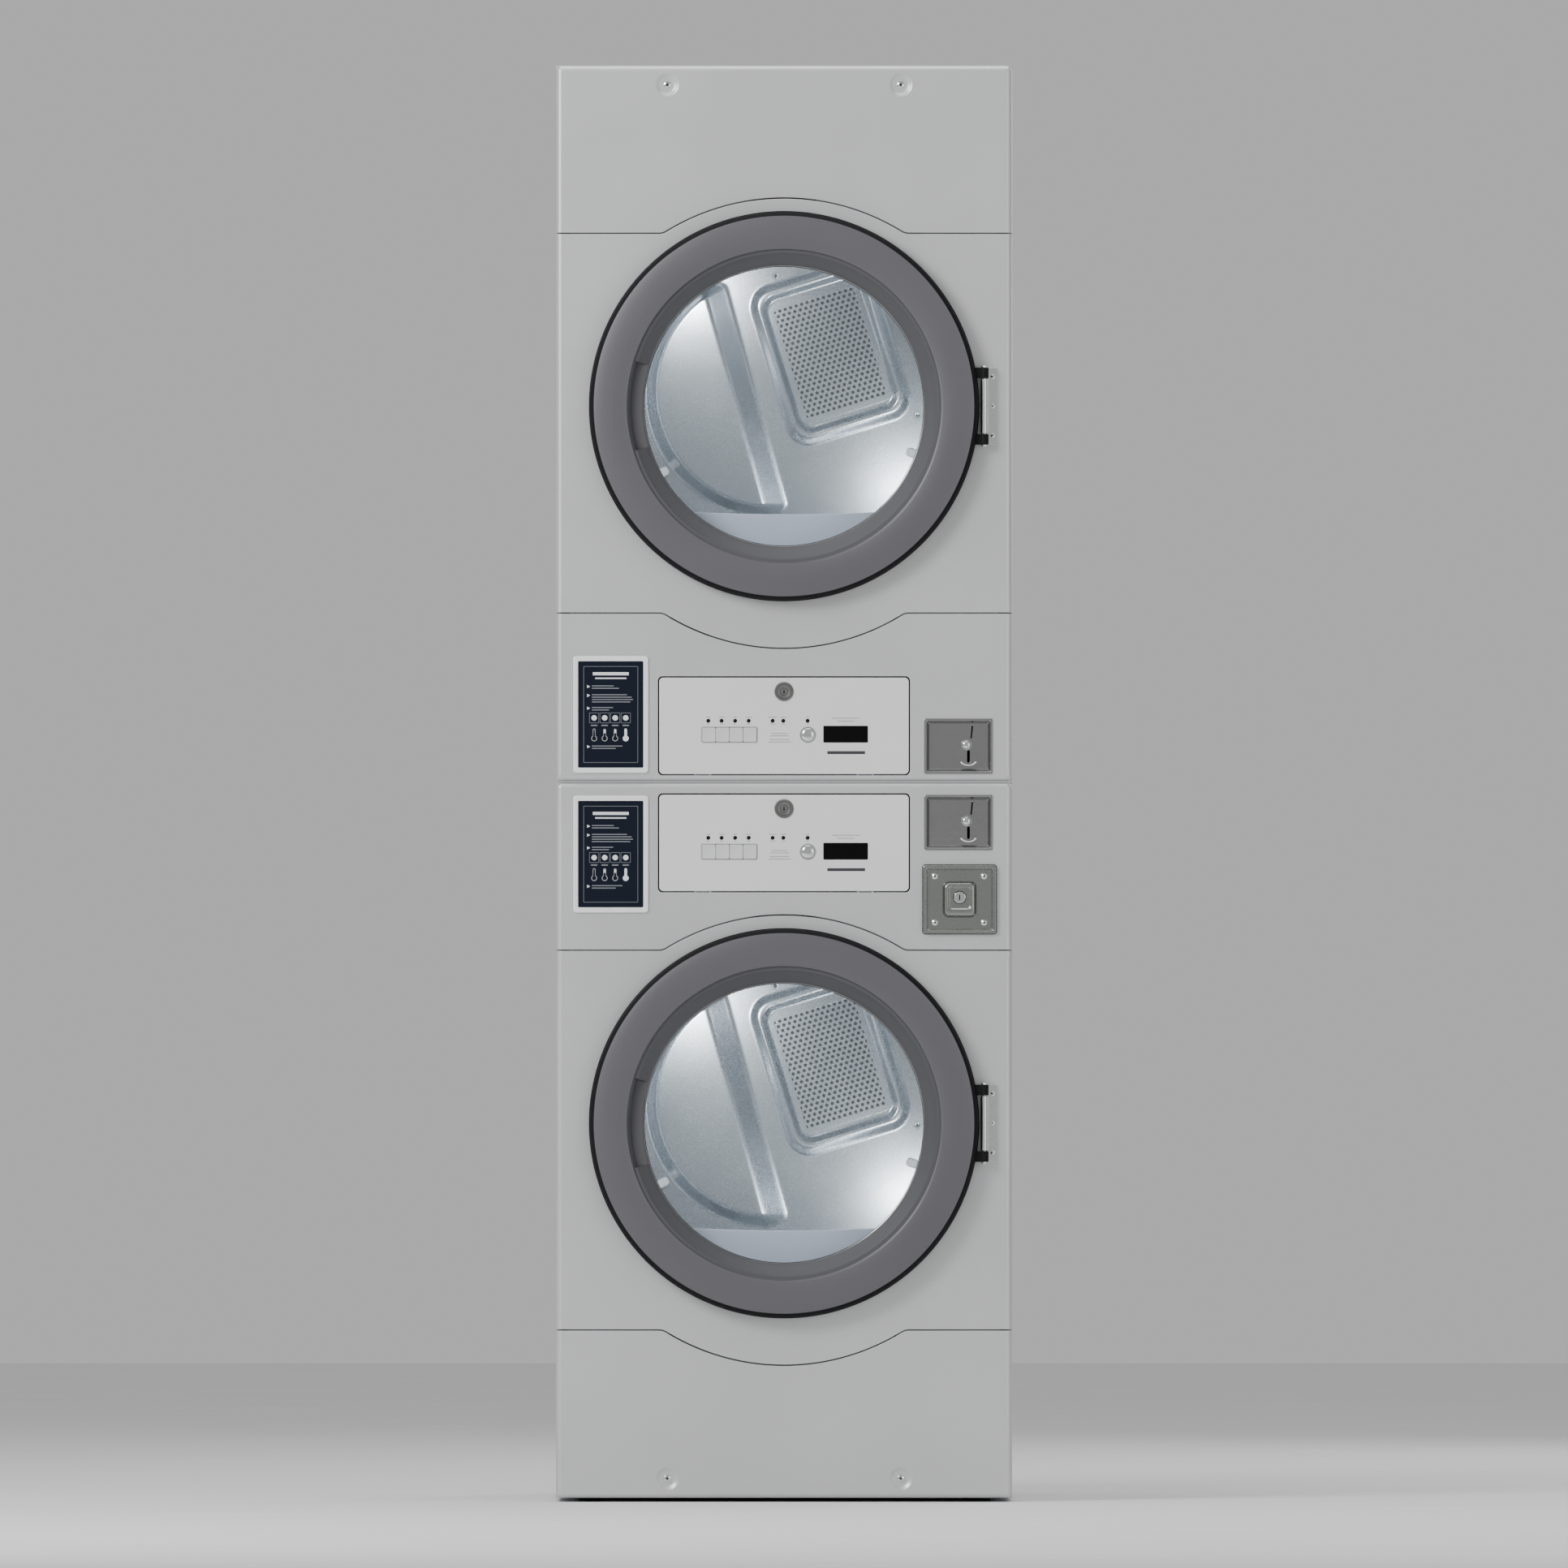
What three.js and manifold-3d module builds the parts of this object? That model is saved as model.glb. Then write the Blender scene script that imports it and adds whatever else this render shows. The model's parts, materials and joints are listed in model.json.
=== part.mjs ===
// Stacked commercial tumble dryer: two full drying units, one on the other, in silver sheet steel.
// Millimetres, +Z up, front towards -Y, origin on the floor under the middle of the machine.
import * as THREE from "three";
import { mergeVertices } from "three/addons/utils/BufferGeometryUtils.js";
import Module from "manifold-3d";

const wasm = await Module();
wasm.setup();

// ---------- Driving dimensions ----------
const ROUND = 36; // sides of the large circles
const WIDTH = 686; // 27 inch cabinet
const TOTAL_HEIGHT = 2160;
const FOOT_HEIGHT = 6; // what the feet lift the base off the floor
const UNIT_SEAM = 2; // gap between the two units
const UNIT_HEIGHT = (TOTAL_HEIGHT - FOOT_HEIGHT - UNIT_SEAM) / 2;
const HALF_UNIT = UNIT_HEIGHT / 2;
const HALF_WIDTH = WIDTH / 2;

const FRONT_Y = -362; // face of the front panels
const BACK_Y = 365; // face of the cabinet's back
const COLLAR_END_Y = 400; // end of the exhaust collars
const SHEET = 2; // sheet steel, with its paint
const FIT_GAP = 0.3; // between pieces that touch
const CORNER = 9; // radius of the cabinet's edges

const PANEL_DEPTH = 25; // how far the front panels fold back
const CABINET_FRONT_Y = FRONT_Y + PANEL_DEPTH + 1.5;
const DISH_X = 175.6; // the dished screws of the plain panel
const DISH_INSET = 29;
const DISH_RADIUS = 17;
const FOOT_X = 290;
const FOOT_Y = 300;

// The seams above and below each door: flat at the sides, one circle in the middle.
const SEAM_GAP = 1.8;
const SEAM_FLAT = 285.5; // height of the flat stretch from the unit's middle
const SEAM_ARC = 338.5;
const SEAM_FILLET = 20;

// Door, measured from its centre and from the front panels' face.
const DOOR_RISE = 25.5; // door centre above the unit's middle
const DOOR_RADIUS = 292.5;
const DOOR_DEPTH = 38; // how far the ring stands proud
const GLASS_EDGE = 211; // radius of the clear glass
const DOOR_OPENING = 236;
const PLUG_RADIUS = 226;
const PULL_HALF_ANGLE = THREE.MathUtils.degToRad(16.9);
const HINGE_X = 301;
const HINGE_Y = -19;
const HINGE_PIN = 3;
const KNUCKLE_Z = 50;
const KNUCKLE_LENGTH = 16;
const LIP_END_Y = -331; // the surround's lip ends just short of the front bulkhead

// Drum and its two bulkheads, measured from the drum's axis.
const DRUM_RADIUS = 297;
const DRUM_WALL = 3;
const DRUM_FRONT_Y = -280;
const DRUM_BACK_Y = 218;
const LIFTER_TOP = 238;
const COLLAR_RADIUS = 289; // the collars that carry the drum's ends
const BULKHEAD_Y = -330; // front bulkhead's face
const BULKHEAD_X = [-338, 338];
const BULKHEAD_Z = [-318, 310];
const REAR_WALL_Y = 224;
const HEATER_Y = [REAR_WALL_Y + 2.5, BACK_Y - 15];
const FILTER_TOP = -157; // top of the lint filter, below the door's centre
const FILTER_BOTTOM = -436;
const FILTER_Y = -300;
const LINT_X = [-115, 165];
const LINT_Y = [-306, -282];
const DUCT_BOTTOM = -461; // of the lint duct, from the unit's middle
const GRILLE_X = 70;
const GRILLE_Z = 87;
const GRILLE_WIDTH = 150;
const GRILLE_HEIGHT = 205;
const GRILLE_TILT = -17.4;
const GRILLE_PITCH = 28;
const GRILLE_ROWS = 6;
const GRILLE_COLUMNS = 4;

// Drive, measured from the unit's middle.
const MOTOR_X = 100;
const MOTOR_Z = -400;
const MOTOR_RADIUS = 62;
const FOOT_PLATE_Z = FIT_GAP + SHEET - HALF_UNIT - MOTOR_Z; // underside of the motor's cradle
const SHAFT_RADIUS = 8;
const PULLEY_RADIUS = 12;
const BELT_Y = 65;
const BELT_WIDTH = 10;
const BELT_THICKNESS = 2.5;
const SCROLL_RADIUS = 102;
const BLOWER_Y = [LINT_Y[1] + FIT_GAP, -222];
const INLET_RADIUS = 50;
const DUCT_RADIUS = 50; // 100 mm exhaust
const DUCT_X = -60;
const DUCT_Z = MOTOR_Z - SCROLL_RADIUS + DUCT_RADIUS;

// Controls, measured from the unit's middle and from the front panels' face.
const CONTROLS_DROP = 4; // both sets of controls sit this much lower than mirrored ones would
const FLAP_WIDTH = 375;
const FLAP_HEIGHT = 145;
const FLAP_CENTRE = 451; // its centre from the unit's middle
const FLAP_GAP = 2.5;
const FLAP_THICKNESS = 3;
const FLAP_SKIRT = 20;
const FLAP_HINGE_X = 122;
const FLAP_AXIS_Y = 3;
const FLAP_AXIS_Z = 1.5; // above the flap's lower edge
const TRAY_DEPTH = 45;
const KEY_WIDTH = 20.1;
const KEY_HEIGHT = 21.4;
const KEY_PITCH = 20.6;
const KEYS_X = -82;
const BUTTONS_Z = -13.5;
const START_X = 36;
const START_RADIUS = 10.5;
const DISPLAY_X = 92.5;
const DISPLAY_Z = -12.5;
const DISPLAY_WIDTH = 67;
const DISPLAY_HEIGHT = 25;
const LOCK_Z = 51.5;
const LOCK_RADIUS = 14.5;
const PLATE_X = -260.5; // instruction plate
const PLATE_CENTRE = 434;
const PLATE_WIDTH = 113;
const PLATE_HEIGHT = 176;
const COIN_X = 262.4;
const COIN_CENTRE = 481.6;
const COIN_WIDTH = 103;
const COIN_HEIGHT = 83.5;
const COIN_SLOT = [22, 24];
const RETURN = [12, 2];
const RETURN_RADIUS = 6;
const CUP = [16, -21];
const VAULT_X = 264; // coin box
const VAULT_CENTRE = 366;
const VAULT_WIDTH = 110;
const VAULT_HEIGHT = 103;
const VAULT_BORE = [96, 90];
const VAULT_DEPTH = 200;
const VAULT_LOCK_RADIUS = 9;

// ---------- Materials ----------
const finish = (color, roughness, metalness) =>
  new THREE.MeshStandardMaterial({ color, roughness, metalness });
const paint = finish(0xb4b6b9, 0.45, 0.55);
const panelPaint = finish(0xcacccf, 0.4, 0.5);
const zinc = finish(0xb9bec2, 0.35, 0.9);
const darkPlastic = finish(0x5f5e63, 0.5, 0.1);
const glass = new THREE.MeshStandardMaterial({
  color: 0xdfe7ea,
  roughness: 0.05,
  metalness: 0,
  transparent: true,
  opacity: 0.25,
});
const stainless = finish(0x8d8f90, 0.3, 0.95);
const chrome = finish(0xd4d6d8, 0.12, 1);
const keyPlastic = finish(0xc4c6c8, 0.55, 0.1);
const filterPlastic = finish(0xa7adbe, 0.6, 0);
const motorSteel = finish(0x7f8386, 0.5, 0.8);
const blackPlastic = finish(0x22242a, 0.6, 0);
const rubber = finish(0x1c1c1e, 0.9, 0);

// ---------- Solids ----------
function solid(geometry) {
  const bare = geometry.index ? geometry.toNonIndexed() : geometry.clone();
  bare.deleteAttribute("normal");
  bare.deleteAttribute("uv");
  const merged = mergeVertices(bare, 1e-3);
  const build = (triVerts) => {
    const vertProperties = merged.attributes.position.array;
    return new wasm.Manifold(
      new wasm.Mesh({ numProp: 3, vertProperties, triVerts }),
    );
  };
  const faces = new Uint32Array(merged.index.array);
  const made = build(faces);
  return made.volume() < 0 ? build(faces.reverse()) : made;
}

const join = (...parts) => parts.reduce((a, b) => a.add(b));
const cut = (base, ...tools) => tools.reduce((a, b) => a.subtract(b), base);

function box([x0, x1], [y0, y1], [z0, z1]) {
  const geometry = new THREE.BoxGeometry(x1 - x0, y1 - y0, z1 - z0);
  geometry.translate((x0 + x1) / 2, (y0 + y1) / 2, (z0 + z1) / 2);
  return solid(geometry);
}

// A box given by its centre in x and z, and its span in y.
const block = (x, z, width, height, ySpan) =>
  box([x - width / 2, x + width / 2], ySpan, [z - height / 2, z + height / 2]);

// A round bar or a cone along Y; radiusBack is its radius at the far end.
function barY(radius, [y0, y1], { x = 0, z = 0, radiusBack, sides = 24 } = {}) {
  const geometry = new THREE.CylinderGeometry(
    radiusBack ?? radius,
    radius,
    y1 - y0,
    sides,
  );
  geometry.translate(x, (y0 + y1) / 2, z);
  return solid(geometry);
}

function barX(radius, [x0, x1], { y = 0, z = 0, sides = 16 } = {}) {
  const geometry = new THREE.CylinderGeometry(radius, radius, x1 - x0, sides);
  geometry.rotateZ(Math.PI / 2);
  geometry.translate((x0 + x1) / 2, y, z);
  return solid(geometry);
}

function barZ(radius, [z0, z1], { x = 0, y = 0, sides = 24 } = {}) {
  const geometry = new THREE.CylinderGeometry(radius, radius, z1 - z0, sides);
  geometry.rotateX(Math.PI / 2);
  geometry.translate(x, y, (z0 + z1) / 2);
  return solid(geometry);
}

// A shape drawn in x and z, given thickness along y.
function slab(shape, [y0, y1], curveSegments = 24) {
  const geometry = new THREE.ExtrudeGeometry(shape, {
    depth: y1 - y0,
    bevelEnabled: false,
    curveSegments,
  });
  geometry.rotateX(Math.PI / 2);
  geometry.translate(0, y1, 0);
  return solid(geometry);
}

// A closed [radius, y] profile turned about the Y axis.
function turned(profile, sides) {
  const points = profile.map(([r, y]) => new THREE.Vector2(r, y));
  const closed = [...points, points[0].clone()];
  return solid(new THREE.LatheGeometry(closed, sides));
}

const tubeY = (outer, inner, [y0, y1], sides) =>
  turned(
    [
      [inner, y0],
      [outer, y0],
      [outer, y1],
      [inner, y1],
    ],
    sides,
  );

function roundedRect(width, height, radius, x = 0, z = 0) {
  const [w, h] = [width / 2 - radius, height / 2 - radius];
  const shape = new THREE.Shape();
  const quarter = Math.PI / 2;
  const corners = [
    [w, -h, -quarter],
    [w, h, 0],
    [-w, h, quarter],
    [-w, -h, 2 * quarter],
  ];
  for (const [cx, cz, start] of corners)
    shape.absarc(x + cx, z + cz, radius, start, start + quarter, false);
  shape.closePath();
  return shape;
}

// ---------- Meshes and groups ----------
function meshOf(name, body, material) {
  const { numProp, vertProperties, triVerts } = body.getMesh();
  const positions = new Float32Array(triVerts.length * 3);
  triVerts.forEach((v, i) =>
    positions.set(
      vertProperties.subarray(v * numProp, v * numProp + 3),
      i * 3,
    ),
  );
  const geometry = new THREE.BufferGeometry();
  geometry.setAttribute("position", new THREE.BufferAttribute(positions, 3));
  geometry.computeVertexNormals();
  const mesh = new THREE.Mesh(geometry, material);
  mesh.name = name;
  return mesh;
}

function groupAt(x, y, z, ...children) {
  const group = new THREE.Group();
  group.position.set(x, y, z);
  group.add(...children);
  return group;
}

// ---------- Front panels ----------
const arcPoints = (x, z, radius, from, to, steps) =>
  Array.from({ length: steps + 1 }, (_, i) => {
    const angle = from + ((to - from) * i) / steps;
    return [x + radius * Math.cos(angle), z + radius * Math.sin(angle)];
  });

const polygon = (points) =>
  new THREE.Shape(points.map(([x, z]) => new THREE.Vector2(x, z)));

// The seam over the door from right to left, moved outwards by `grow`.
function seamLine(grow) {
  const filletZ = SEAM_FLAT + SEAM_FILLET;
  const filletX = Math.sqrt((SEAM_ARC + SEAM_FILLET) ** 2 - filletZ ** 2);
  const turn = Math.atan2(filletZ, filletX);
  const fillet = SEAM_FILLET - grow;
  const quarter = Math.PI / 2;
  return [
    [HALF_WIDTH + 1, SEAM_FLAT + grow],
    ...arcPoints(filletX, filletZ, fillet, -quarter, turn - Math.PI, 3),
    ...arcPoints(0, 0, SEAM_ARC + grow, turn, Math.PI - turn, 14).slice(1, -1),
    ...arcPoints(-filletX, filletZ, fillet, -turn, -quarter, 3),
    [-HALF_WIDTH - 1, SEAM_FLAT + grow],
  ];
}

const mirrorZ = (points) => points.map(([x, z]) => [x, -z]);

// Everything between the two seams.
const surroundOutline = () => {
  const seam = seamLine(-SEAM_GAP / 2);
  return polygon([...seam, ...mirrorZ(seam).reverse()]);
};

// Everything beyond one seam: side is 1 for the top of the unit, -1 for the bottom.
const endOutline = (side) => {
  const seam = seamLine(SEAM_GAP / 2);
  const end = HALF_UNIT + 1;
  const points = [...seam, [-HALF_WIDTH - 1, end], [HALF_WIDTH + 1, end]];
  return polygon(side > 0 ? points : mirrorZ(points));
};

// The cabinet's front outline seen from above, with its rounded edges.
function wrapOutline(inset, backY) {
  const side = HALF_WIDTH - inset;
  const radius = CORNER - inset;
  const centreY = FRONT_Y + CORNER;
  return polygon([
    [-side, backY],
    ...arcPoints(radius - side, centreY, radius, Math.PI, 1.5 * Math.PI, 4),
    ...arcPoints(side - radius, centreY, radius, -Math.PI / 2, 0, 4),
    [side, backY],
  ]);
}

function upright(shape, [z0, z1]) {
  const geometry = new THREE.ExtrudeGeometry(shape, { depth: z1 - z0, bevelEnabled: false });
  geometry.translate(0, 0, z0);
  return solid(geometry);
}

// A folded front panel, cut to an outline; `ends` lists the heights of its folded ends.
function frontPanel(outline, ends = []) {
  const backY = FRONT_Y + PANEL_DEPTH;
  const span = [-HALF_UNIT, HALF_UNIT];
  const folded = cut(
    upright(wrapOutline(0, backY), span),
    upright(wrapOutline(SHEET, backY + 1), [-HALF_UNIT - 1, HALF_UNIT + 1]),
  );
  const caps = ends.map((z) => {
    const inside = z - Math.sign(z) * SHEET;
    return upright(wrapOutline(0.5, backY), [Math.min(z, inside), Math.max(z, inside)]);
  });
  return join(folded, ...caps).intersect(slab(outline, [FRONT_Y - 1, backY + 1]));
}

// The plain panel at the end away from the controls, with its two dished screws.
function servicePanel(side) {
  let panel = frontPanel(endOutline(-side), [-side * HALF_UNIT]);
  const z = -side * (HALF_UNIT - DISH_INSET);
  for (const x of [-DISH_X, DISH_X]) {
    const cup = barY(DISH_RADIUS + 2, [FRONT_Y + 1, FRONT_Y + 5], { x, z, sides: 16 });
    const dish = barY(DISH_RADIUS, [FRONT_Y - 1, FRONT_Y + 3], {
      x,
      z,
      radiusBack: DISH_RADIUS - 4,
      sides: 16,
    });
    const screw = barY(5, [FRONT_Y + 0.5, FRONT_Y + 4], { x, z, sides: 8 });
    panel = join(cut(join(panel, cup), dish), screw);
  }
  return panel;
}

// The panel round the door, with the lip that leads into the drum.
function doorSurround() {
  const opening = [FRONT_Y - 2, FRONT_Y + PANEL_DEPTH + 2];
  const lip = tubeY(DOOR_OPENING + SHEET, DOOR_OPENING, [FRONT_Y + 0.5, LIP_END_Y], ROUND);
  const panel = cut(
    frontPanel(surroundOutline()),
    barY(DOOR_OPENING + 0.5, opening, { z: DOOR_RISE, sides: ROUND }),
  );
  return join(panel, lip.translate(0, 0, DOOR_RISE));
}

// The panel that carries the controls, with the tray behind the flap and the pins it turns on.
function controlFascia(side, vault) {
  const flapZ = side * FLAP_CENTRE - CONTROLS_DROP;
  const hole = [FLAP_WIDTH + 2 * FLAP_GAP, FLAP_HEIGHT + 2 * FLAP_GAP];
  const tray = block(0, flapZ, hole[0] + 4, hole[1] + 4, [FRONT_Y + 0.5, FRONT_Y + TRAY_DEPTH]);
  const hollow = block(0, flapZ, hole[0], hole[1], [FRONT_Y - 1, FRONT_Y + TRAY_DEPTH - SHEET]);
  const catchSlot = box(
    [-10, 22],
    [FRONT_Y + 23.5, FRONT_Y + 30],
    [flapZ + hole[1] / 2 - 1, flapZ + hole[1] / 2 + 3],
  );
  const hingeZ = flapZ - FLAP_HEIGHT / 2 + FLAP_AXIS_Z;
  const pins = [-1, 1].flatMap((way) => {
    const x = way * FLAP_HINGE_X;
    const posts = [x - 11, x + 11].map((post) =>
      block(post, hingeZ - 1, 3, 7, [FRONT_Y + 1.8, FRONT_Y + 6]),
    );
    return [barX(1.3, [x - 11, x + 11], { y: FRONT_Y + FLAP_AXIS_Y, z: hingeZ, sides: 8 }), ...posts];
  });
  const coinZ = side * COIN_CENTRE - CONTROLS_DROP;
  const coinHole = block(COIN_X, coinZ, COIN_WIDTH - 4, COIN_HEIGHT - 4, [FRONT_Y - 1, FRONT_Y + 5]);
  const panel = frontPanel(endOutline(side), [side * HALF_UNIT]);
  const body = cut(join(panel, tray), hollow, catchSlot, coinHole);
  return vault ? join(cut(body, vaultHole()), vaultSleeve(), ...pins) : join(body, ...pins);
}

const vaultZ = VAULT_CENTRE - CONTROLS_DROP;
const vaultHole = () =>
  block(VAULT_X, vaultZ, VAULT_BORE[0], VAULT_BORE[1], [FRONT_Y - 1, FRONT_Y + VAULT_DEPTH]);
const vaultSleeve = () =>
  cut(
    block(VAULT_X, vaultZ, VAULT_BORE[0] + 4, VAULT_BORE[1] + 4, [
      FRONT_Y + 0.5,
      FRONT_Y + VAULT_DEPTH + SHEET,
    ]),
    vaultHole(),
  );

// ---------- Controls ----------
// Everything here is measured from the flap's centre and the front panels' face.
function flapBody() {
  const plate = slab(roundedRect(FLAP_WIDTH, FLAP_HEIGHT, 6), [0, FLAP_THICKNESS], 4);
  const skirt = cut(
    block(0, 0, FLAP_WIDTH - 8, FLAP_HEIGHT - 8, [1, FLAP_SKIRT]),
    block(0, 0, FLAP_WIDTH - 12, FLAP_HEIGHT - 12, [0, FLAP_SKIRT + 1]),
  );
  const axis = { y: FLAP_AXIS_Y, z: FLAP_AXIS_Z - FLAP_HEIGHT / 2 };
  const knuckles = [-1, 1].map((way) => {
    const x = way * FLAP_HINGE_X;
    return barX(2.7, [x - 9, x + 9], { ...axis, sides: 12 });
  });
  const bores = [-1, 1].map((way) => {
    const x = way * FLAP_HINGE_X;
    return barX(1.7, [x - 10, x + 10], { ...axis, sides: 12 });
  });
  // The skirt's lower wall is open where the pins' posts stand.
  const notches = [-1, 1].map((way) =>
    block(way * FLAP_HINGE_X, 4 - FLAP_HEIGHT / 2, 28, 14, [FLAP_THICKNESS + 3.2, FLAP_SKIRT + 1]),
  );
  const posts = [-1, 1].flatMap((way) =>
    [-11, 11].flatMap((side) => [
      block(way * FLAP_HINGE_X + side, -FLAP_HEIGHT / 2, 4, 14, [1.2, FLAP_SKIRT]),
      block(way * FLAP_HINGE_X + side, -FLAP_HEIGHT / 2, 4, 6.4, [-1, 2]),
    ]),
  );
  return cut(
    join(plate, skirt, ...knuckles),
    ...bores,
    ...notches,
    ...posts,
    block(KEYS_X, BUTTONS_Z, 4 * KEY_PITCH + 0.4, KEY_HEIGHT + 0.6, [-1, 5]),
    barY(START_RADIUS + 0.3, [-1, 5], { x: START_X, z: BUTTONS_Z, sides: 24 }),
    barY(LOCK_RADIUS - 2, [-1, 5], { z: LOCK_Z, sides: 24 }),
    block(DISPLAY_X, DISPLAY_Z, DISPLAY_WIDTH, DISPLAY_HEIGHT, [-1, 1.5]),
  );
}

// A key stands a little proud and is held from behind by the tabs above and below it.
const keyBody = () =>
  join(
    slab(roundedRect(KEY_WIDTH, KEY_HEIGHT, 1.5), [-1.8, 9], 1),
    block(0, 0, KEY_WIDTH - 1, KEY_HEIGHT + 5, [3.4, 5.4]),
  );

const startButton = () =>
  join(
    barY(START_RADIUS - 3, [-3.2, -1.6], { radiusBack: START_RADIUS - 0.6, sides: 16 }),
    barY(START_RADIUS, [-1.6, 9], { sides: 16 }),
    barY(START_RADIUS + 2.5, [3.4, 5.4], { sides: 8 }),
  );

// The lock barrel, its key slot and the cam that swings up behind the fascia.
const panelLock = () =>
  cut(
    join(
      barY(LOCK_RADIUS - 1, [-2.6, -0.3], { radiusBack: LOCK_RADIUS, sides: 24 }),
      barY(LOCK_RADIUS - 2.4, [-1, 28.5], { sides: 24 }),
      block(10, 0, 32, 9, [26, 28.5]),
    ),
    block(0, 0, 2.4, 10, [-4, 6]),
    barY(5.5, [-4, -1.8], { sides: 16 }),
  );

// A raised frame with the card set into it.
const instructionPlate = () =>
  cut(
    slab(roundedRect(PLATE_WIDTH, PLATE_HEIGHT, 3), [-3.3, -FIT_GAP], 3),
    block(0, 0, PLATE_WIDTH - 14, PLATE_HEIGHT - 15, [-4, -2]),
  );

// A tapered well: `front` and `back` are its width and height at its two ends.
function well(x, z, front, back, [y0, y1]) {
  const geometry = new THREE.BoxGeometry(1, 1, 1);
  const position = geometry.attributes.position;
  for (let i = 0; i < position.count; i += 1) {
    const atFront = position.getY(i) < 0;
    const [width, height] = atFront ? front : back;
    const y = atFront ? y0 : y1;
    position.setXYZ(i, x + position.getX(i) * width, y, z + position.getZ(i) * height);
  }
  return solid(geometry);
}

// The coin entry: a dished plate with a slot, a return button and a returned-coin cup.
function coinPlate() {
  const dish = [COIN_WIDTH - 8, COIN_HEIGHT - 8];
  const slot = block(COIN_SLOT[0], COIN_SLOT[1], 2.6, 26, [0, 20]);
  const tilted = slot
    .translate(-COIN_SLOT[0], 0, -COIN_SLOT[1])
    .rotate(0, -6, 0)
    .translate(COIN_SLOT[0], 0, COIN_SLOT[1]);
  const body = join(
    slab(roundedRect(COIN_WIDTH, COIN_HEIGHT, 2), [-1.6, -FIT_GAP], 2),
    block(0, 0, COIN_WIDTH - 5, COIN_HEIGHT - 5, [-1, 10]),
    block(6, 0, 76, 66, [9, 58]),
  );
  const cup = join(
    barY(9, [2, 9], { x: CUP[0], z: CUP[1] - 6, sides: 20 }),
    block(CUP[0], CUP[1] + 2, 4, 24, [2, 30]),
  );
  const lip = barY(11, [1, 9], { x: CUP[0], z: CUP[1] - 6, radiusBack: 11, sides: 20 }).intersect(
    block(CUP[0], CUP[1] - 14, 30, 14, [0, 10]),
  );
  return cut(
    join(cut(body, well(0, 0, dish, [dish[0] - 8, dish[1] - 8], [-3, 6])), lip),
    cup,
    tilted,
    barY(RETURN_RADIUS + 0.3, [0, 30], { x: RETURN[0], z: RETURN[1], sides: 20 }),
  );
}

const returnButton = () =>
  join(
    barY(RETURN_RADIUS - 1, [2.5, 3.5], { radiusBack: RETURN_RADIUS, sides: 20 }),
    barY(RETURN_RADIUS, [3.5, 22], { sides: 20 }),
  );

// The coin drawer: a heavy face with four screws and a lock boss, and an open box behind it.
function coinBox() {
  const [width, height] = VAULT_BORE.map((size) => size - 2);
  const face = cut(
    slab(roundedRect(VAULT_WIDTH, VAULT_HEIGHT, 3), [-7, -FIT_GAP], 2),
    well(0, 0, [100, 94], [95, 89], [-8, -4]),
  );
  const drawer = cut(
    block(0, 0, width, height, [-1, VAULT_DEPTH - 5]),
    block(0, 4, width - 4, height, [2, VAULT_DEPTH - 7]),
  );
  const boss = slab(roundedRect(48, 52, 4), [-8.5, -1], 3);
  const screws = [-1, 1].flatMap((i) =>
    [-1, 1].map((j) => barY(4.2, [-6, -1], { x: i * 37, z: j * 34.8, sides: 10 })),
  );
  return cut(
    join(face, drawer, boss, ...screws),
    block(0, 3, 32, 32, [-9, -6.5]),
    barY(VAULT_LOCK_RADIUS + 0.3, [-10, 3], { z: 3, sides: 24 }),
  );
}

const coinBoxLock = () =>
  cut(
    join(
      barY(VAULT_LOCK_RADIUS, [-7.8, 6], { sides: 24 }),
      block(8, 0, 26, 8, [3.5, 6]),
    ),
    block(0, 0, 2.2, 9, [-9, -3]),
  );

// ---------- Door ----------
// Turned about the door's axis; y is measured from the front panels' face.
const RING_PROFILE = [
  [291, -2],
  [DOOR_RADIUS, -26],
  [288, -34],
  [277, -37.5],
  [256, -DOOR_DEPTH],
  [235.5, -35.5],
  [232.5, -30],
  [GLASS_EDGE, -11],
  [GLASS_EDGE, -9],
  [218, -9],
  [218, -3],
  [GLASS_EDGE, -3],
  [216, 20],
  [PLUG_RADIUS, 18],
  [PLUG_RADIUS, -2],
  [252, -2],
  [255, -31],
  [283, -31],
  [286, -2],
];

function doorRing() {
  const ring = turned(RING_PROFILE, ROUND);
  // The finger pull is a pocket under the ring's inner edge, on the left.
  const sector = polygon([
    [0, 0],
    ...arcPoints(0, 0, 300, Math.PI - PULL_HALF_ANGLE, Math.PI + PULL_HALF_ANGLE, 6),
  ]);
  const pocket = turned(
    [
      [205, -27],
      [248, -27],
      [248, -14],
      [205, -14],
    ],
    ROUND,
  ).intersect(slab(sector, [-40, 0]));
  const knuckles = [-1, 1].map((way) => {
    const middle = way * KNUCKLE_Z;
    const span = [middle - KNUCKLE_LENGTH / 2, middle + KNUCKLE_LENGTH / 2];
    const eye = barZ(6.5, span, { x: HINGE_X, y: HINGE_Y, sides: 16 });
    const arm = box([HINGE_X - 18, HINGE_X], [HINGE_Y - 4.5, HINGE_Y + 4.5], span);
    return join(eye, arm);
  });
  const bore = barZ(HINGE_PIN + 0.3, [-80, 80], { x: HINGE_X, y: HINGE_Y, sides: 16 });
  return cut(join(cut(ring, pocket), ...knuckles), bore);
}

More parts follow.
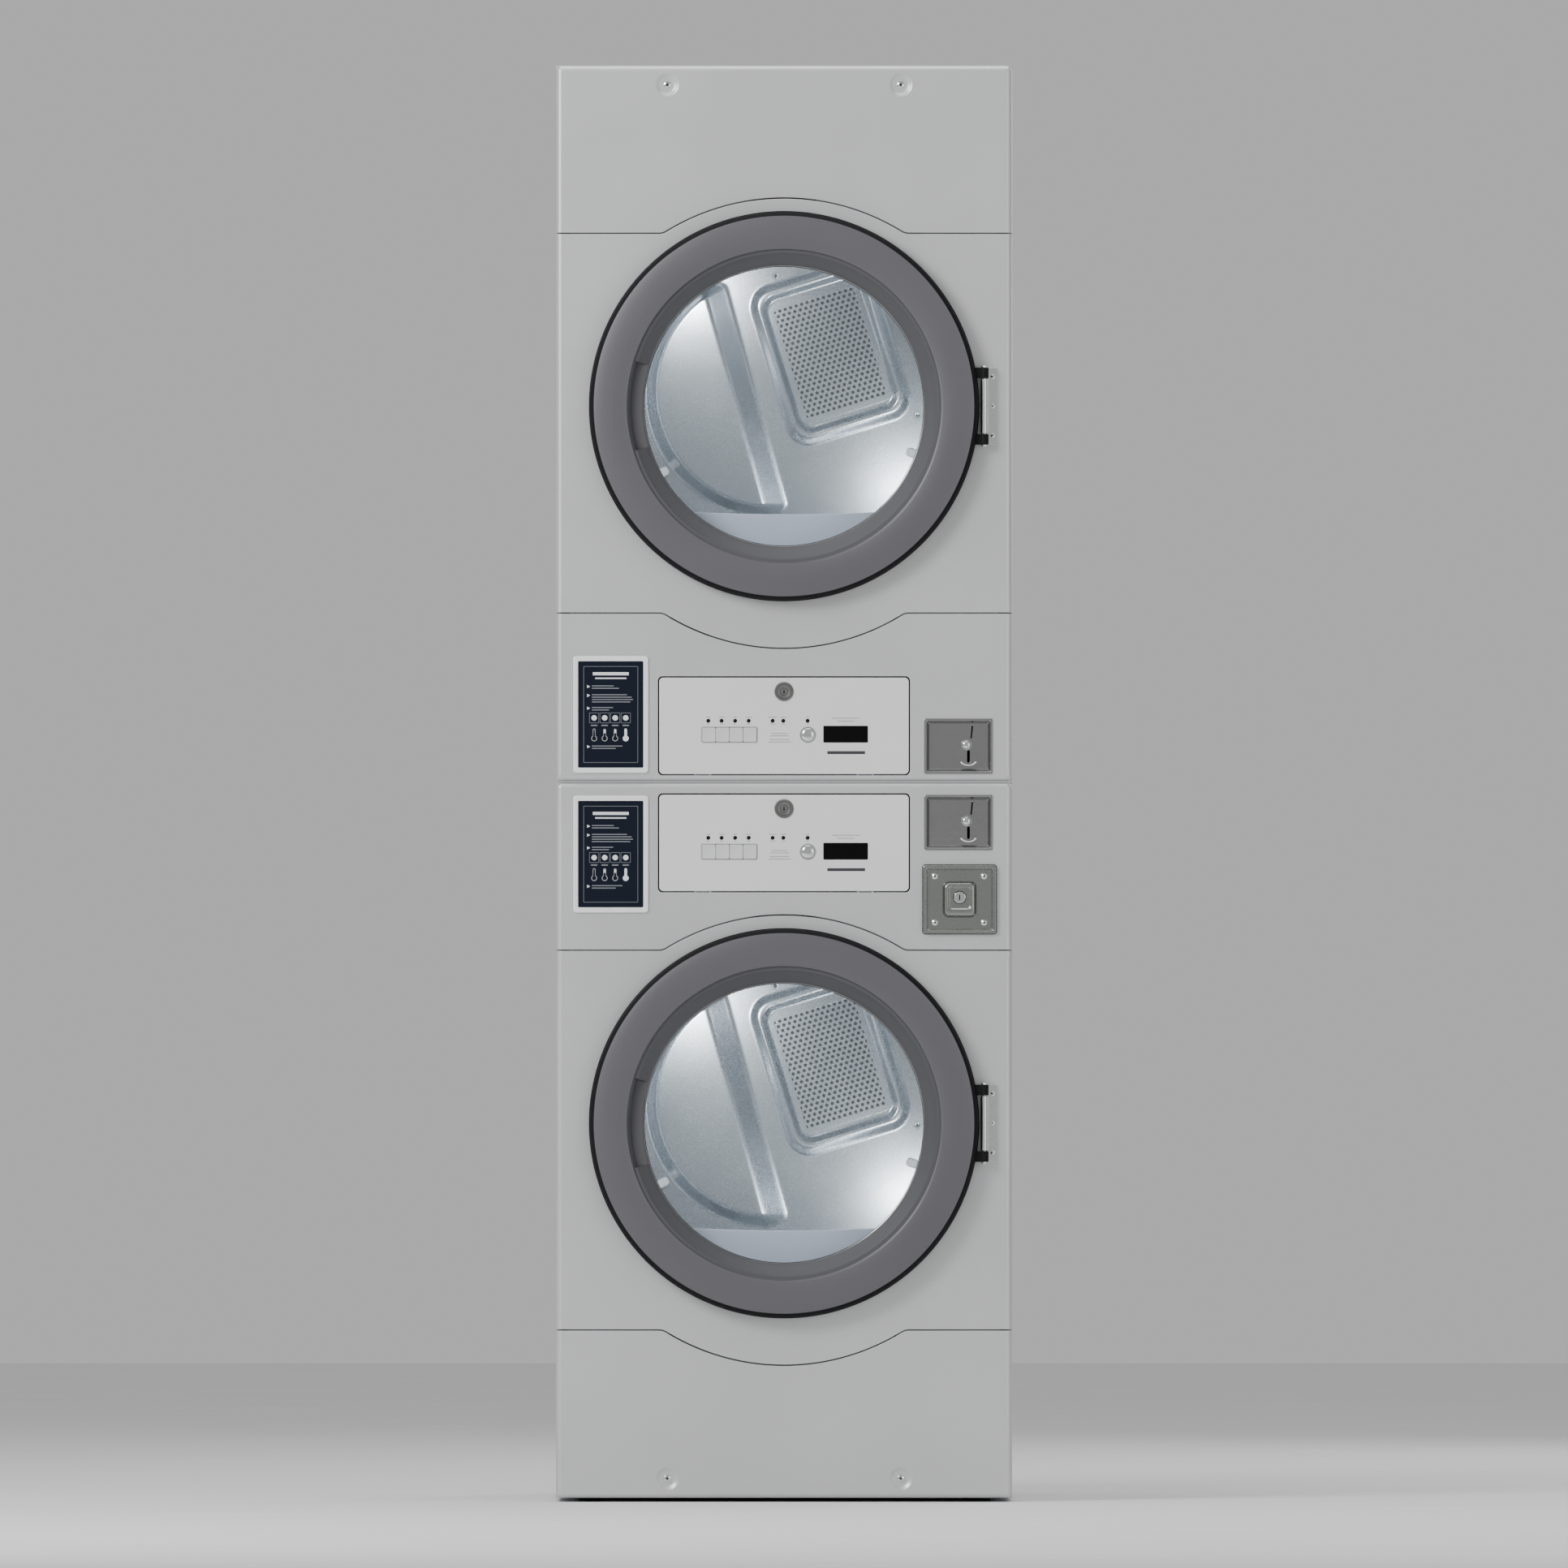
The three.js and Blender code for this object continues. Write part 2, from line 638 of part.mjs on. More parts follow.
// The fixed half of the hinge: a leaf on the panel, a barrel and the pin.
function doorHinge() {
  const reach = KNUCKLE_Z - KNUCKLE_LENGTH / 2 - 0.5;
  const end = KNUCKLE_Z + KNUCKLE_LENGTH / 2;
  const at = { x: HINGE_X, y: HINGE_Y };
  return join(
    box([HINGE_X - 6, HINGE_X + 20], [-2.3, -FIT_GAP], [-end, end]),
    box([HINGE_X - 3, HINGE_X + 3], [HINGE_Y, -1], [-reach, reach]),
    barZ(5.5, [-reach, reach], { ...at, sides: 16 }),
    barZ(HINGE_PIN, [-end - 1, end + 1], { ...at, sides: 12 }),
    ...[-end - 2.5, end + 0.5].map((z) => barZ(5, [z, z + 2], { ...at, sides: 12 })),
  );
}

const doorGlass = () => barY(217, [-8.7, -3.3], { sides: ROUND });

// ---------- Drum and air path ----------
function drumBody() {
  const shell = tubeY(DRUM_RADIUS, DRUM_RADIUS - DRUM_WALL, [DRUM_FRONT_Y, DRUM_BACK_Y], ROUND);
  const inner = DRUM_RADIUS - DRUM_WALL;
  const lifter = polygon([
    [-42, inner - 1],
    [-12, LIFTER_TOP],
    [12, LIFTER_TOP],
    [42, inner - 1],
  ]);
  const lifters = [90, 210, 330].map((angle) =>
    slab(lifter, [DRUM_FRONT_Y + 30, DRUM_BACK_Y - 35]).rotate(0, angle, 0),
  );
  return join(shell, ...lifters);
}

// The plate and collar at the drum's front, with the lint duct below. From the drum's axis.
function frontBulkhead() {
  const low = DUCT_BOTTOM - DOOR_RISE;
  const plate = box(BULKHEAD_X, [BULKHEAD_Y, BULKHEAD_Y + SHEET], BULKHEAD_Z);
  const collar = tubeY(COLLAR_RADIUS, COLLAR_RADIUS - 2.5, [BULKHEAD_Y + 1, DRUM_FRONT_Y + 18], ROUND);
  const duct = cut(
    box([LINT_X[0], LINT_X[1]], LINT_Y, [low, -228]),
    barY(COLLAR_RADIUS - 1, [-400, 0], { sides: ROUND }),
  );
  const [inX, inY] = [LINT_X, LINT_Y].map(([from, to]) => [from + SHEET, to - SHEET]);
  const hollow = cut(
    box(inX, inY, [low + SHEET, -228]),
    barY(COLLAR_RADIUS, [-400, 0], { sides: ROUND }),
  );
  return cut(
    join(plate, collar, duct),
    hollow,
    barY(DOOR_OPENING, [-400, DRUM_FRONT_Y - 20], { sides: ROUND }),
    box([-111, 111], [FILTER_Y - 4, FILTER_Y + 10], [-310, -252]),
    box([205, 340], [-400, DRUM_FRONT_Y - 20], [284, 400]),
    barY(INLET_RADIUS, [LINT_Y[1] - 5, LINT_Y[1] + 5], { x: MOTOR_X, z: MOTOR_Z - DOOR_RISE }),
  );
}

// The lint screen: a cover that closes the bottom of the door's neck, and a framed screen below it.
function lintFilter() {
  const cover = barY(231, [FILTER_Y - 4, FILTER_Y + 10], { sides: ROUND }).intersect(
    box([-240, 240], [-400, 0], [-240, FILTER_TOP]),
  );
  const frame = box([-108, 108], [FILTER_Y, FILTER_Y + 6], [FILTER_BOTTOM, -210]);
  const windows = [
    [FILTER_Y - 1, FILTER_Y + 2.2],
    [FILTER_Y + 3.8, FILTER_Y + 7],
  ].map((y) => box([-98, 98], y, [FILTER_BOTTOM + 10, -245]));
  return cut(join(cover, frame), ...windows);
}

// The stationary wall behind the drum: a collar, a raised field and the grille the hot air enters by.
function rearBulkhead() {
  const plate = box(BULKHEAD_X, [REAR_WALL_Y, REAR_WALL_Y + SHEET], BULKHEAD_Z);
  const collar = tubeY(
    COLLAR_RADIUS,
    COLLAR_RADIUS - 2.5,
    [DRUM_BACK_Y - 18, REAR_WALL_Y + 1],
    ROUND,
  );
  const field = barY(205, [REAR_WALL_Y - 4, REAR_WALL_Y + 1], { sides: ROUND }).intersect(
    box([-300, -38], [0, 400], [-300, 300]).rotate(0, GRILLE_TILT, 0),
  );
  const raised = slab(roundedRect(GRILLE_WIDTH, GRILLE_HEIGHT, 22), [REAR_WALL_Y - 6, REAR_WALL_Y + 1], 4)
    .rotate(0, GRILLE_TILT, 0)
    .translate(GRILLE_X, 0, GRILLE_Z);
  const holes = [];
  for (let row = 0; row < GRILLE_ROWS; row += 1)
    for (let column = 0; column < GRILLE_COLUMNS; column += 1) {
      const x = (column - (GRILLE_COLUMNS - 1) / 2) * GRILLE_PITCH;
      const z = (row - (GRILLE_ROWS - 1) / 2) * GRILLE_PITCH;
      holes.push(barY(10, [REAR_WALL_Y - 10, REAR_WALL_Y + 5], { x, z, sides: 6 }));
    }
  const grille = holes
    .reduce((a, b) => a.add(b))
    .rotate(0, GRILLE_TILT, 0)
    .translate(GRILLE_X, 0, GRILLE_Z);
  return cut(join(plate, collar, field, raised), grille);
}

// The heater box behind the grille, open to it, with its heating bars.
function heaterBody() {
  const [halfX, halfZ] = [105, 130];
  const casing = cut(
    box([-halfX, halfX], HEATER_Y, [-halfZ, halfZ]),
    box([SHEET - halfX, halfX - SHEET], [HEATER_Y[0] - 1, HEATER_Y[1] - SHEET], [
      SHEET - halfZ,
      halfZ - SHEET,
    ]),
    ...[-60, -20, 20, 60].map((x) =>
      box([x - 14, x + 14], [HEATER_Y[0] + 20, HEATER_Y[1] - 20], [halfZ - 5, halfZ + 5]),
    ),
  );
  const bars = [-90, -45, 0, 45, 90].map((z) =>
    barX(5, [1 - halfX, halfX - 1], { y: (HEATER_Y[0] + HEATER_Y[1]) / 2, z, sides: 10 }),
  );
  return join(casing, ...bars);
}

// The blower scroll with its outlet and the exhaust duct that runs out through the back.
function blowerHousing() {
  const [front, back] = BLOWER_Y;
  const floor = MOTOR_Z - SCROLL_RADIUS;
  const build = (inset, ductEnd) => {
    const y = [front + inset, back - inset];
    return join(
      barY(SCROLL_RADIUS - inset, y, { x: MOTOR_X, z: MOTOR_Z, sides: 32 }),
      box([DUCT_X - DUCT_RADIUS + inset, MOTOR_X], y, [floor + inset, floor + 2 * DUCT_RADIUS - inset]),
      barY(DUCT_RADIUS - inset, [back - 10, ductEnd], { x: DUCT_X, z: DUCT_Z }),
    );
  };
  return cut(
    build(0, COLLAR_END_Y),
    build(SHEET, COLLAR_END_Y + 1),
    barY(INLET_RADIUS, [front - 5, front + 5], { x: MOTOR_X, z: MOTOR_Z }),
    barY(SHAFT_RADIUS + 4, [back - 5, back + 5], { x: MOTOR_X, z: MOTOR_Z, sides: 20 }),
  );
}

// ---------- Drive ----------
// The motor and its cradle, from the motor's axis.
function motorBody() {
  const foot = FOOT_PLATE_Z;
  return cut(
    join(
      barY(MOTOR_RADIUS, [-170, 30]),
      barY(40, [-184, 44], { sides: 16 }),
      block(0, foot + 2, 140, 4, [-160, 20]),
      block(0, foot / 2 - 20, 76, -foot - 44, [-150, -138]),
      block(0, foot / 2 - 20, 76, -foot - 44, [-2, 10]),
    ),
    barY(SHAFT_RADIUS + 0.6, [-200, 60], { sides: 12 }),
  );
}

// The shaft with the blower wheel at its front end and the belt pulley at its back end.
function motorRotor() {
  const blades = Array.from({ length: 8 }, (_, i) =>
    block(66, 0, 38, 2.5, [-272, -230]).rotate(0, i * 45, 0),
  );
  return join(
    barY(SHAFT_RADIUS, [-272, 76], { sides: 12 }),
    barY(85, [-232, -229], { sides: 20 }),
    barY(15, [-250, -229], { sides: 12 }),
    ...blades,
    barY(PULLEY_RADIUS, [BELT_Y - 7, BELT_Y + 7], { sides: 16 }),
    ...[BELT_Y - 8, BELT_Y + 6.5].map((y) => barY(18, [y, y + 1.5], { sides: 16 })),
  );
}

// The belt round the drum and the pulley, from the unit's middle.
function driveBelt() {
  const distance = Math.hypot(MOTOR_X, MOTOR_Z - DOOR_RISE);
  const heading = Math.atan2(MOTOR_Z - DOOR_RISE, MOTOR_X);
  const loop = (grow) => {
    const [drum, pulley] = [DRUM_RADIUS + 1 + grow, PULLEY_RADIUS + 0.6 + grow];
    const spread = Math.acos((drum - pulley) / distance);
    const full = 2 * Math.PI;
    const large = arcPoints(0, DOOR_RISE, drum, heading + spread, heading - spread + full, 36);
    const small = arcPoints(MOTOR_X, MOTOR_Z, pulley, heading - spread, heading + spread, 6);
    return polygon([...large, ...small]);
  };
  const span = [BELT_Y - BELT_WIDTH / 2, BELT_Y + BELT_WIDTH / 2];
  return cut(slab(loop(BELT_THICKNESS), span), slab(loop(0), [span[0] - 1, span[1] + 1]));
}

// ---------- Cabinet ----------
function cabinetShell() {
  const [side, back] = [HALF_WIDTH, BACK_Y];
  const slots = [];
  for (const x of [-150, 150])
    for (let i = 0; i < 6; i += 1)
      slots.push(block(x, 210 + i * 26, 120, 8, [back - 5, back + 5]));
  return cut(
    box([-side, side], [CABINET_FRONT_Y, back], [-HALF_UNIT, HALF_UNIT]),
    box([-side + 20, side - 20], [CABINET_FRONT_Y - 1, 0], [-HALF_UNIT - 1, HALF_UNIT - 12]),
    box(
      [-side + SHEET, side - SHEET],
      [CABINET_FRONT_Y + SHEET, back - SHEET],
      [-HALF_UNIT - 1, HALF_UNIT - SHEET],
    ),
    barY(DUCT_RADIUS + 2, [back - 10, back + 10], { x: DUCT_X, z: DUCT_Z }),
    ...slots,
  );
}

// The tray that closes a cabinet's bottom.
function floorTray(holes) {
  const side = HALF_WIDTH - SHEET - 0.5;
  const span = [CABINET_FRONT_Y + SHEET + 0.5, BACK_Y - SHEET - 0.5];
  const tray = cut(
    box([-side, side], span, [-HALF_UNIT, 30 - HALF_UNIT]),
    box([SHEET - side, side - SHEET], [span[0] + SHEET, span[1] - SHEET], [
      SHEET - HALF_UNIT,
      31 - HALF_UNIT,
    ]),
  );
  const openFront = box([-320, 320], [-400, -300], [4 - HALF_UNIT, 40 - HALF_UNIT]);
  return cut(
    tray,
    openFront,
    ...holes.map(([x, y]) => barZ(6, [-HALF_UNIT - 1, 5 - HALF_UNIT], { x, y, sides: 16 })),
  );
}

// A levelling foot: pad, threaded stem and the nut above the base. From the floor.
const footBody = () =>
  join(
    barZ(21, [0, FOOT_HEIGHT - FIT_GAP], { sides: 16 }),
    barZ(5.5, [3, FOOT_HEIGHT + 26], { sides: 8 }),
    barZ(9.5, [FOOT_HEIGHT + SHEET + FIT_GAP, FOOT_HEIGHT + 9], { sides: 6 }),
  );

// ---------- Assembly ----------
function dryingUnit(prefix, side, middle) {
  const named = (name, body, material) => meshOf(`${prefix}_${name}`, body, material);
  const controlZ = (centre) => side * centre - CONTROLS_DROP;

  const keys = [1, 2, 3, 4].map((number) => {
    const x = KEYS_X + (number - 2.5) * KEY_PITCH;
    return groupAt(x, 0, BUTTONS_Z, named(`key_${number}`, keyBody(), keyPlastic));
  });
  const flap = groupAt(
    0,
    FRONT_Y,
    controlZ(FLAP_CENTRE),
    named("control_panel", flapBody(), panelPaint),
    groupAt(0, 0, LOCK_Z, named("panel_lock", panelLock(), chrome)),
    groupAt(START_X, 0, BUTTONS_Z, named("start_button", startButton(), chrome)),
    ...keys,
  );
  const coins = groupAt(
    COIN_X,
    FRONT_Y,
    controlZ(COIN_CENTRE),
    named("coin_plate", coinPlate(), stainless),
    groupAt(RETURN[0], 0, RETURN[1], named("coin_return_button", returnButton(), chrome)),
  );
  const plate = named("instruction_plate", instructionPlate(), zinc);
  const door = groupAt(
    0,
    FRONT_Y,
    DOOR_RISE,
    named("door_ring", doorRing(), darkPlastic),
    named("door_glass", doorGlass(), glass),
    named("door_hinge", doorHinge(), chrome),
  );
  const drumGroup = groupAt(
    0,
    0,
    DOOR_RISE,
    named("drum", drumBody(), zinc),
    named("front_bulkhead", frontBulkhead(), zinc),
    named("rear_bulkhead", rearBulkhead(), zinc),
    named("lint_filter", lintFilter(), filterPlastic),
    groupAt(GRILLE_X, 0, GRILLE_Z, named("heater", heaterBody(), zinc)),
  );
  const drive = groupAt(
    MOTOR_X,
    0,
    MOTOR_Z,
    named("motor", motorBody(), motorSteel),
    named("motor_rotor", motorRotor(), motorSteel),
  );
  return groupAt(
    0,
    0,
    middle,
    named("cabinet", cabinetShell(), paint),
    named("service_panel", servicePanel(side), paint),
    named("door_surround", doorSurround(), paint),
    named("control_fascia", controlFascia(side, side > 0), paint),
    flap,
    coins,
    groupAt(PLATE_X, FRONT_Y, controlZ(PLATE_CENTRE), plate),
    door,
    drumGroup,
    drive,
    named("blower_housing", blowerHousing(), zinc),
    named("drive_belt", driveBelt(), rubber),
  );
}

const lowerMiddle = FOOT_HEIGHT + HALF_UNIT;
const upperMiddle = lowerMiddle + UNIT_HEIGHT + UNIT_SEAM;

const feet = { front_left: [-1, -1], front_right: [1, -1], rear_left: [-1, 1], rear_right: [1, 1] };
const footAt = ([x, y]) => [x * FOOT_X, y * FOOT_Y];

const group = new THREE.Group();
group.name = "stacked_tumble_dryer";
group.add(
  dryingUnit("lower", 1, lowerMiddle),
  dryingUnit("upper", -1, upperMiddle),
  groupAt(
    VAULT_X,
    FRONT_Y,
    lowerMiddle + vaultZ,
    meshOf("coin_box", coinBox(), stainless),
    groupAt(0, 0, 3, meshOf("coin_box_lock", coinBoxLock(), chrome)),
  ),
  groupAt(0, 0, lowerMiddle, meshOf("base_pan", floorTray(Object.values(feet).map(footAt)), zinc)),
  groupAt(0, 0, upperMiddle, meshOf("stack_deck", floorTray([]), zinc)),
);
for (const [corner, sides] of Object.entries(feet)) {
  const [x, y] = footAt(sides);
  group.add(groupAt(x, y, 0, meshOf(`foot_${corner}`, footBody(), blackPlastic)));
}

export default group;
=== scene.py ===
"""Looks of the stacked coin-operated tumble dryer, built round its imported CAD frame."""

import json
import math
from contextlib import contextmanager

import bmesh
import bpy
from mathutils import Matrix, Vector


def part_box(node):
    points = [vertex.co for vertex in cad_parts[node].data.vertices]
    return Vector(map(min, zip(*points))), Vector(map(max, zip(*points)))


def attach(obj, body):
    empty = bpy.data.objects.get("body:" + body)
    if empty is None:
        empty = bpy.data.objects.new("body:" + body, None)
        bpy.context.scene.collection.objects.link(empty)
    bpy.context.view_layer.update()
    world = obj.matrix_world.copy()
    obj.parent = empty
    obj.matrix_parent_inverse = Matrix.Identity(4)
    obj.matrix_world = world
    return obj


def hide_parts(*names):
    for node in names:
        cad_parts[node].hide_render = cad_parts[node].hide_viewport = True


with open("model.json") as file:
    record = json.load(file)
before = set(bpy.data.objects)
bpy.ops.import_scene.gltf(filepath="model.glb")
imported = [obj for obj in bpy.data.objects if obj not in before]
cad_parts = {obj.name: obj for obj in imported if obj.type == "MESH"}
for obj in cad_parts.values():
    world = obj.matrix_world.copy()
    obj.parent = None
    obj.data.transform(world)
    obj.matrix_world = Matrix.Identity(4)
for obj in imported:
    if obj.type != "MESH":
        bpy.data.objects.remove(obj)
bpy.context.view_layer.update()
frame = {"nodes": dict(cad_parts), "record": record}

MM = 0.001
UNITS = {"upper": -1, "lower": 1}  # 1 where the controls are above the door
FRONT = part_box("lower_door_surround")[0].y
HALF_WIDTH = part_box("lower_door_surround")[1].x
HALF_UNIT = (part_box("lower_cabinet")[1].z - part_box("lower_cabinet")[0].z) / 2


def middle(node):
    low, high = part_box(node)
    return (low + high) / 2


# ---------- Materials ----------
def add_node(nodes, kind, operation=None, **inputs):
    """A shader node with some inputs set; an underscore in an input's name stands for a space."""
    made = nodes.new(f"ShaderNode{kind}")
    if operation:
        made.operation = operation
    for socket, value in inputs.items():
        made.inputs[socket.replace("_", " ")].default_value = value
    return made


def material(
    name, color, roughness=0.4, metallic=0.0, spread=0.05, tint=0.04, grain=(600.0, 0.02),
    stretch=(1, 1, 1), blotch=4.0, coat=0.0, **extra
):
    """A surface whose roughness, colour and fine relief vary a little over it."""
    made = bpy.data.materials.new(name)
    made.use_nodes = True
    nodes, links = made.node_tree.nodes, made.node_tree.links
    shader = nodes["Principled BSDF"]
    shader.inputs["Metallic"].default_value = metallic
    shader.inputs["Coat Weight"].default_value = coat
    for socket, value in extra.items():
        shader.inputs[socket.replace("_", " ")].default_value = value
    place = add_node(nodes, "TexCoord")
    mapping = add_node(nodes, "Mapping", Scale=stretch)
    links.new(place.outputs["Object"], mapping.inputs["Vector"])

    def noise(scale, detail):
        texture = add_node(nodes, "TexNoise", Scale=scale, Detail=detail)
        links.new(mapping.outputs["Vector"], texture.inputs["Vector"])
        return texture.outputs["Fac"]

    broad, fine = noise(blotch, 4), noise(grain[0], 3)
    spans = {"From_Min": 0.3, "From_Max": 0.7, "To_Min": roughness - spread, "To_Max": roughness + spread}
    ramp = add_node(nodes, "MapRange", **spans)
    mix = add_node(nodes, "Math", "ADD")
    half = add_node(nodes, "Math", "MULTIPLY")
    half.inputs[1].default_value = 0.5
    links.new(broad, mix.inputs[0])
    links.new(fine, mix.inputs[1])
    links.new(mix.outputs[0], half.inputs[0])
    links.new(half.outputs[0], ramp.inputs["Value"])
    links.new(ramp.outputs["Result"], shader.inputs["Roughness"])

    shade = add_node(nodes, "ValToRGB")
    for stop, factor in zip(shade.color_ramp.elements, (1 - tint, 1 + tint)):
        stop.color = [min(1, c * factor) for c in color] + [1]
    shade.color_ramp.elements[0].position = 0.3
    shade.color_ramp.elements[1].position = 0.7
    links.new(half.outputs[0], shade.inputs["Fac"])
    links.new(shade.outputs["Color"], shader.inputs["Base Color"])

    bump = add_node(nodes, "Bump", Strength=1.0, Distance=grain[1] * MM)
    links.new(fine, bump.inputs["Height"])
    links.new(bump.outputs["Normal"], shader.inputs["Normal"])
    return made


def window_glass(name):
    """Sheet glass: light goes straight through, and the surface keeps its reflections."""
    made = bpy.data.materials.new(name)
    made.use_nodes = True
    nodes, links = made.node_tree.nodes, made.node_tree.links
    nodes.remove(nodes["Principled BSDF"])
    clear = add_node(nodes, "BsdfTransparent", Color=(0.93, 0.955, 0.965, 1))
    gloss = add_node(nodes, "BsdfGlossy", Roughness=0.02)
    edge = add_node(nodes, "Fresnel", IOR=1.45)
    noise = add_node(nodes, "TexNoise", Scale=9)
    bump = add_node(nodes, "Bump", Distance=0.02 * MM)
    links.new(noise.outputs["Fac"], bump.inputs["Height"])
    links.new(bump.outputs["Normal"], gloss.inputs["Normal"])
    facing = add_node(nodes, "NewGeometry")
    outward = add_node(nodes, "Math", "SUBTRACT")
    outward.inputs[0].default_value = 1.0
    links.new(facing.outputs["Backfacing"], outward.inputs[1])
    share = add_node(nodes, "Math", "MULTIPLY")
    links.new(edge.outputs["Fac"], share.inputs[0])
    links.new(outward.outputs[0], share.inputs[1])
    mix = add_node(nodes, "MixShader")
    links.new(share.outputs[0], mix.inputs["Fac"])
    links.new(clear.outputs["BSDF"], mix.inputs[1])
    links.new(gloss.outputs["BSDF"], mix.inputs[2])
    links.new(mix.outputs["Shader"], nodes["Material Output"].inputs["Surface"])
    return made


PAINT = material("silver_powder_coat", (0.56, 0.565, 0.575), 0.4, 0.5, grain=(900, 0.03))
PANEL = material("light_silver_coat", (0.80, 0.80, 0.81), 0.42, 0.35, grain=(900, 0.02))
ZINC = material(
    "galvanised_sheet", (0.62, 0.65, 0.685), 0.26, 0.9, spread=0.05, tint=0.02, blotch=7, grain=(700, 0.008)
)
DARK = material("door_grey", (0.105, 0.103, 0.113), 0.42, 0.25, spread=0.06, grain=(1400, 0.04))
# The door's own grey made darker as painted shade: on the bevel that slopes in to the glass, the finger
# pull's pad and the door's back.
SHADED_DOOR_GREY = material("door_grey_painted_shade", (0.07, 0.07, 0.076), 0.5, 0.1, grain=(1400, 0.04))
# Black moulding; also dark paint for shade: the door ring's outer edge and trim, screw recesses, key slots,
# the lock's groove and the back of the coin well.
BLACK_AND_SHADE = material(
    "black_moulding_and_painted_shade", (0.006, 0.006, 0.007), 0.6, 0.0, grain=(1200, 0.05), Specular_IOR_Level=0.15
)
# Rubber seals; also the dark rings behind the gaps round the control flap and the coin drawer, as painted
# shadow in those gaps.
SEAL_AND_GAP_SHADE = material("rubber_seal_and_gap_shade", (0.015, 0.015, 0.016), 0.8, 0.0, grain=(700, 0.1))
GLASS = window_glass("door_glass")
STEEL = material(
    "brushed_stainless", (0.31, 0.315, 0.31), 0.24, 1.0, spread=0.05, tint=0.03, grain=(500, 0.003),
    stretch=(0.2, 1, 2)
)
NICKEL = material("satin_nickel", (0.2, 0.2, 0.195), 0.34, 1.0, grain=(700, 0.02))
DRAWER = material("drawer_stainless", (0.29, 0.305, 0.29), 0.27, 1.0, tint=0.03, grain=(500, 0.004))
CHROME = material("polished_metal", (0.72, 0.73, 0.74), 0.14, 1.0, spread=0.04, grain=(300, 0.01))
WHITE = material("white_clip", (0.85, 0.85, 0.85), 0.5, 0.0)
KEY = material("key_cap", (0.62, 0.625, 0.635), 0.5, 0.2, grain=(1500, 0.03))
FILTER = material("filter_moulding", (0.62, 0.64, 0.74), 0.55, 0.0, grain=(900, 0.06))
MESH = material("filter_screen", (0.30, 0.31, 0.34), 0.6, 0.4, grain=(3000, 0.3))
CARD = material("navy_card", (0.004, 0.007, 0.016), 0.6, 0.0, grain=(1500, 0.02), Specular_IOR_Level=0.12)
INK = material("white_print", (0.72, 0.74, 0.76), 0.6, 0.0)
FAINT = material("grey_print", (0.30, 0.30, 0.31), 0.6, 0.0)
SMALL = material("dim_print", (0.17, 0.18, 0.2), 0.6, 0.0)
NAME = material("dark_print", (0.03, 0.03, 0.035), 0.6, 0.0)
# The card frame's bright coat; the same near white on the coin cup's lip is a painted highlight that stands
# in for its chrome's reflection.
BRIGHT_COAT_AND_HIGHLIGHT = material("card_frame_coat_and_lip_highlight", (0.9, 0.905, 0.915), 0.35, 0.2, grain=(900, 0.02))
LENS = material(
    "display_lens", (0.002, 0.002, 0.0025), 0.2, 0.0, spread=0.03, grain=(60, 0.01), Specular_IOR_Level=0.12
)
# Motor enamel; also the dark plate behind the rear wall's grille, as painted shade seen through its holes.
ENAMEL_AND_HOLE_SHADE = material("motor_enamel_and_hole_shade", (0.12, 0.125, 0.13), 0.5, 0.4, grain=(600, 0.1))
BELT = material("belt_rubber", (0.02, 0.02, 0.02), 0.85, 0.0, grain=(900, 0.1))


# ---------- Mesh helpers, in millimetres from the point given as `origin` ----------
def add_object(name, mesh):
    made = bpy.data.objects.new(name, mesh)
    bpy.context.scene.collection.objects.link(made)
    return made


def set_edges(mesh, limit=32):
    """Smooth shading everywhere, except across edges sharper than the limit."""
    work = bmesh.new()
    work.from_mesh(mesh)
    bmesh.ops.remove_doubles(work, verts=work.verts, dist=2e-6)
    for face in work.faces:
        face.smooth = True
    for edge in work.edges:
        if len(edge.link_faces) == 2:
            edge.smooth = edge.calc_face_angle(0) < math.radians(limit)
    work.to_mesh(mesh)
    work.free()


def from_data(name, verts, faces, surface, limit=32):
    mesh = bpy.data.meshes.new(name)
    mesh.from_pydata([tuple(c * MM for c in v) for v in verts], [], faces)
    mesh.materials.append(surface)
    made = add_object(name, mesh)
    work = bmesh.new()
    work.from_mesh(mesh)
    bmesh.ops.recalc_face_normals(work, faces=work.faces)
    work.to_mesh(mesh)
    work.free()
    set_edges(mesh, limit)
    return made


def grid_faces(rows, width, wrap_rows=False, wrap=True):
    """Four-sided faces between rows of points that are each `width` points long."""
    faces = []
    for i in range(rows if wrap_rows else rows - 1):
        j = (i + 1) % rows
        for k in range(width if wrap else width - 1):
            n = (k + 1) % width
            faces.append((i * width + k, i * width + n, j * width + n, j * width + k))
    return faces


def lathe(profile, surface, steps=96, closed=True, axis="Y", angles=None, warp=None, limit=32):
    """Turns a profile of (radius, along) points about an axis; warp(angle, point) may move one."""
    angles = angles or [2 * math.pi * i / steps for i in range(steps)]
    verts = []
    for angle in angles:
        for point in profile:
            radius, along = warp(angle, point) if warp else point
            a, b = radius * math.cos(angle), radius * math.sin(angle)
            verts.append({"Y": (a, along, b), "Z": (a, b, along), "X": (along, a, b)}[axis])
    faces = grid_faces(len(angles), len(profile), wrap_rows=True, wrap=closed)
    return from_data("turned", verts, faces, surface, limit)


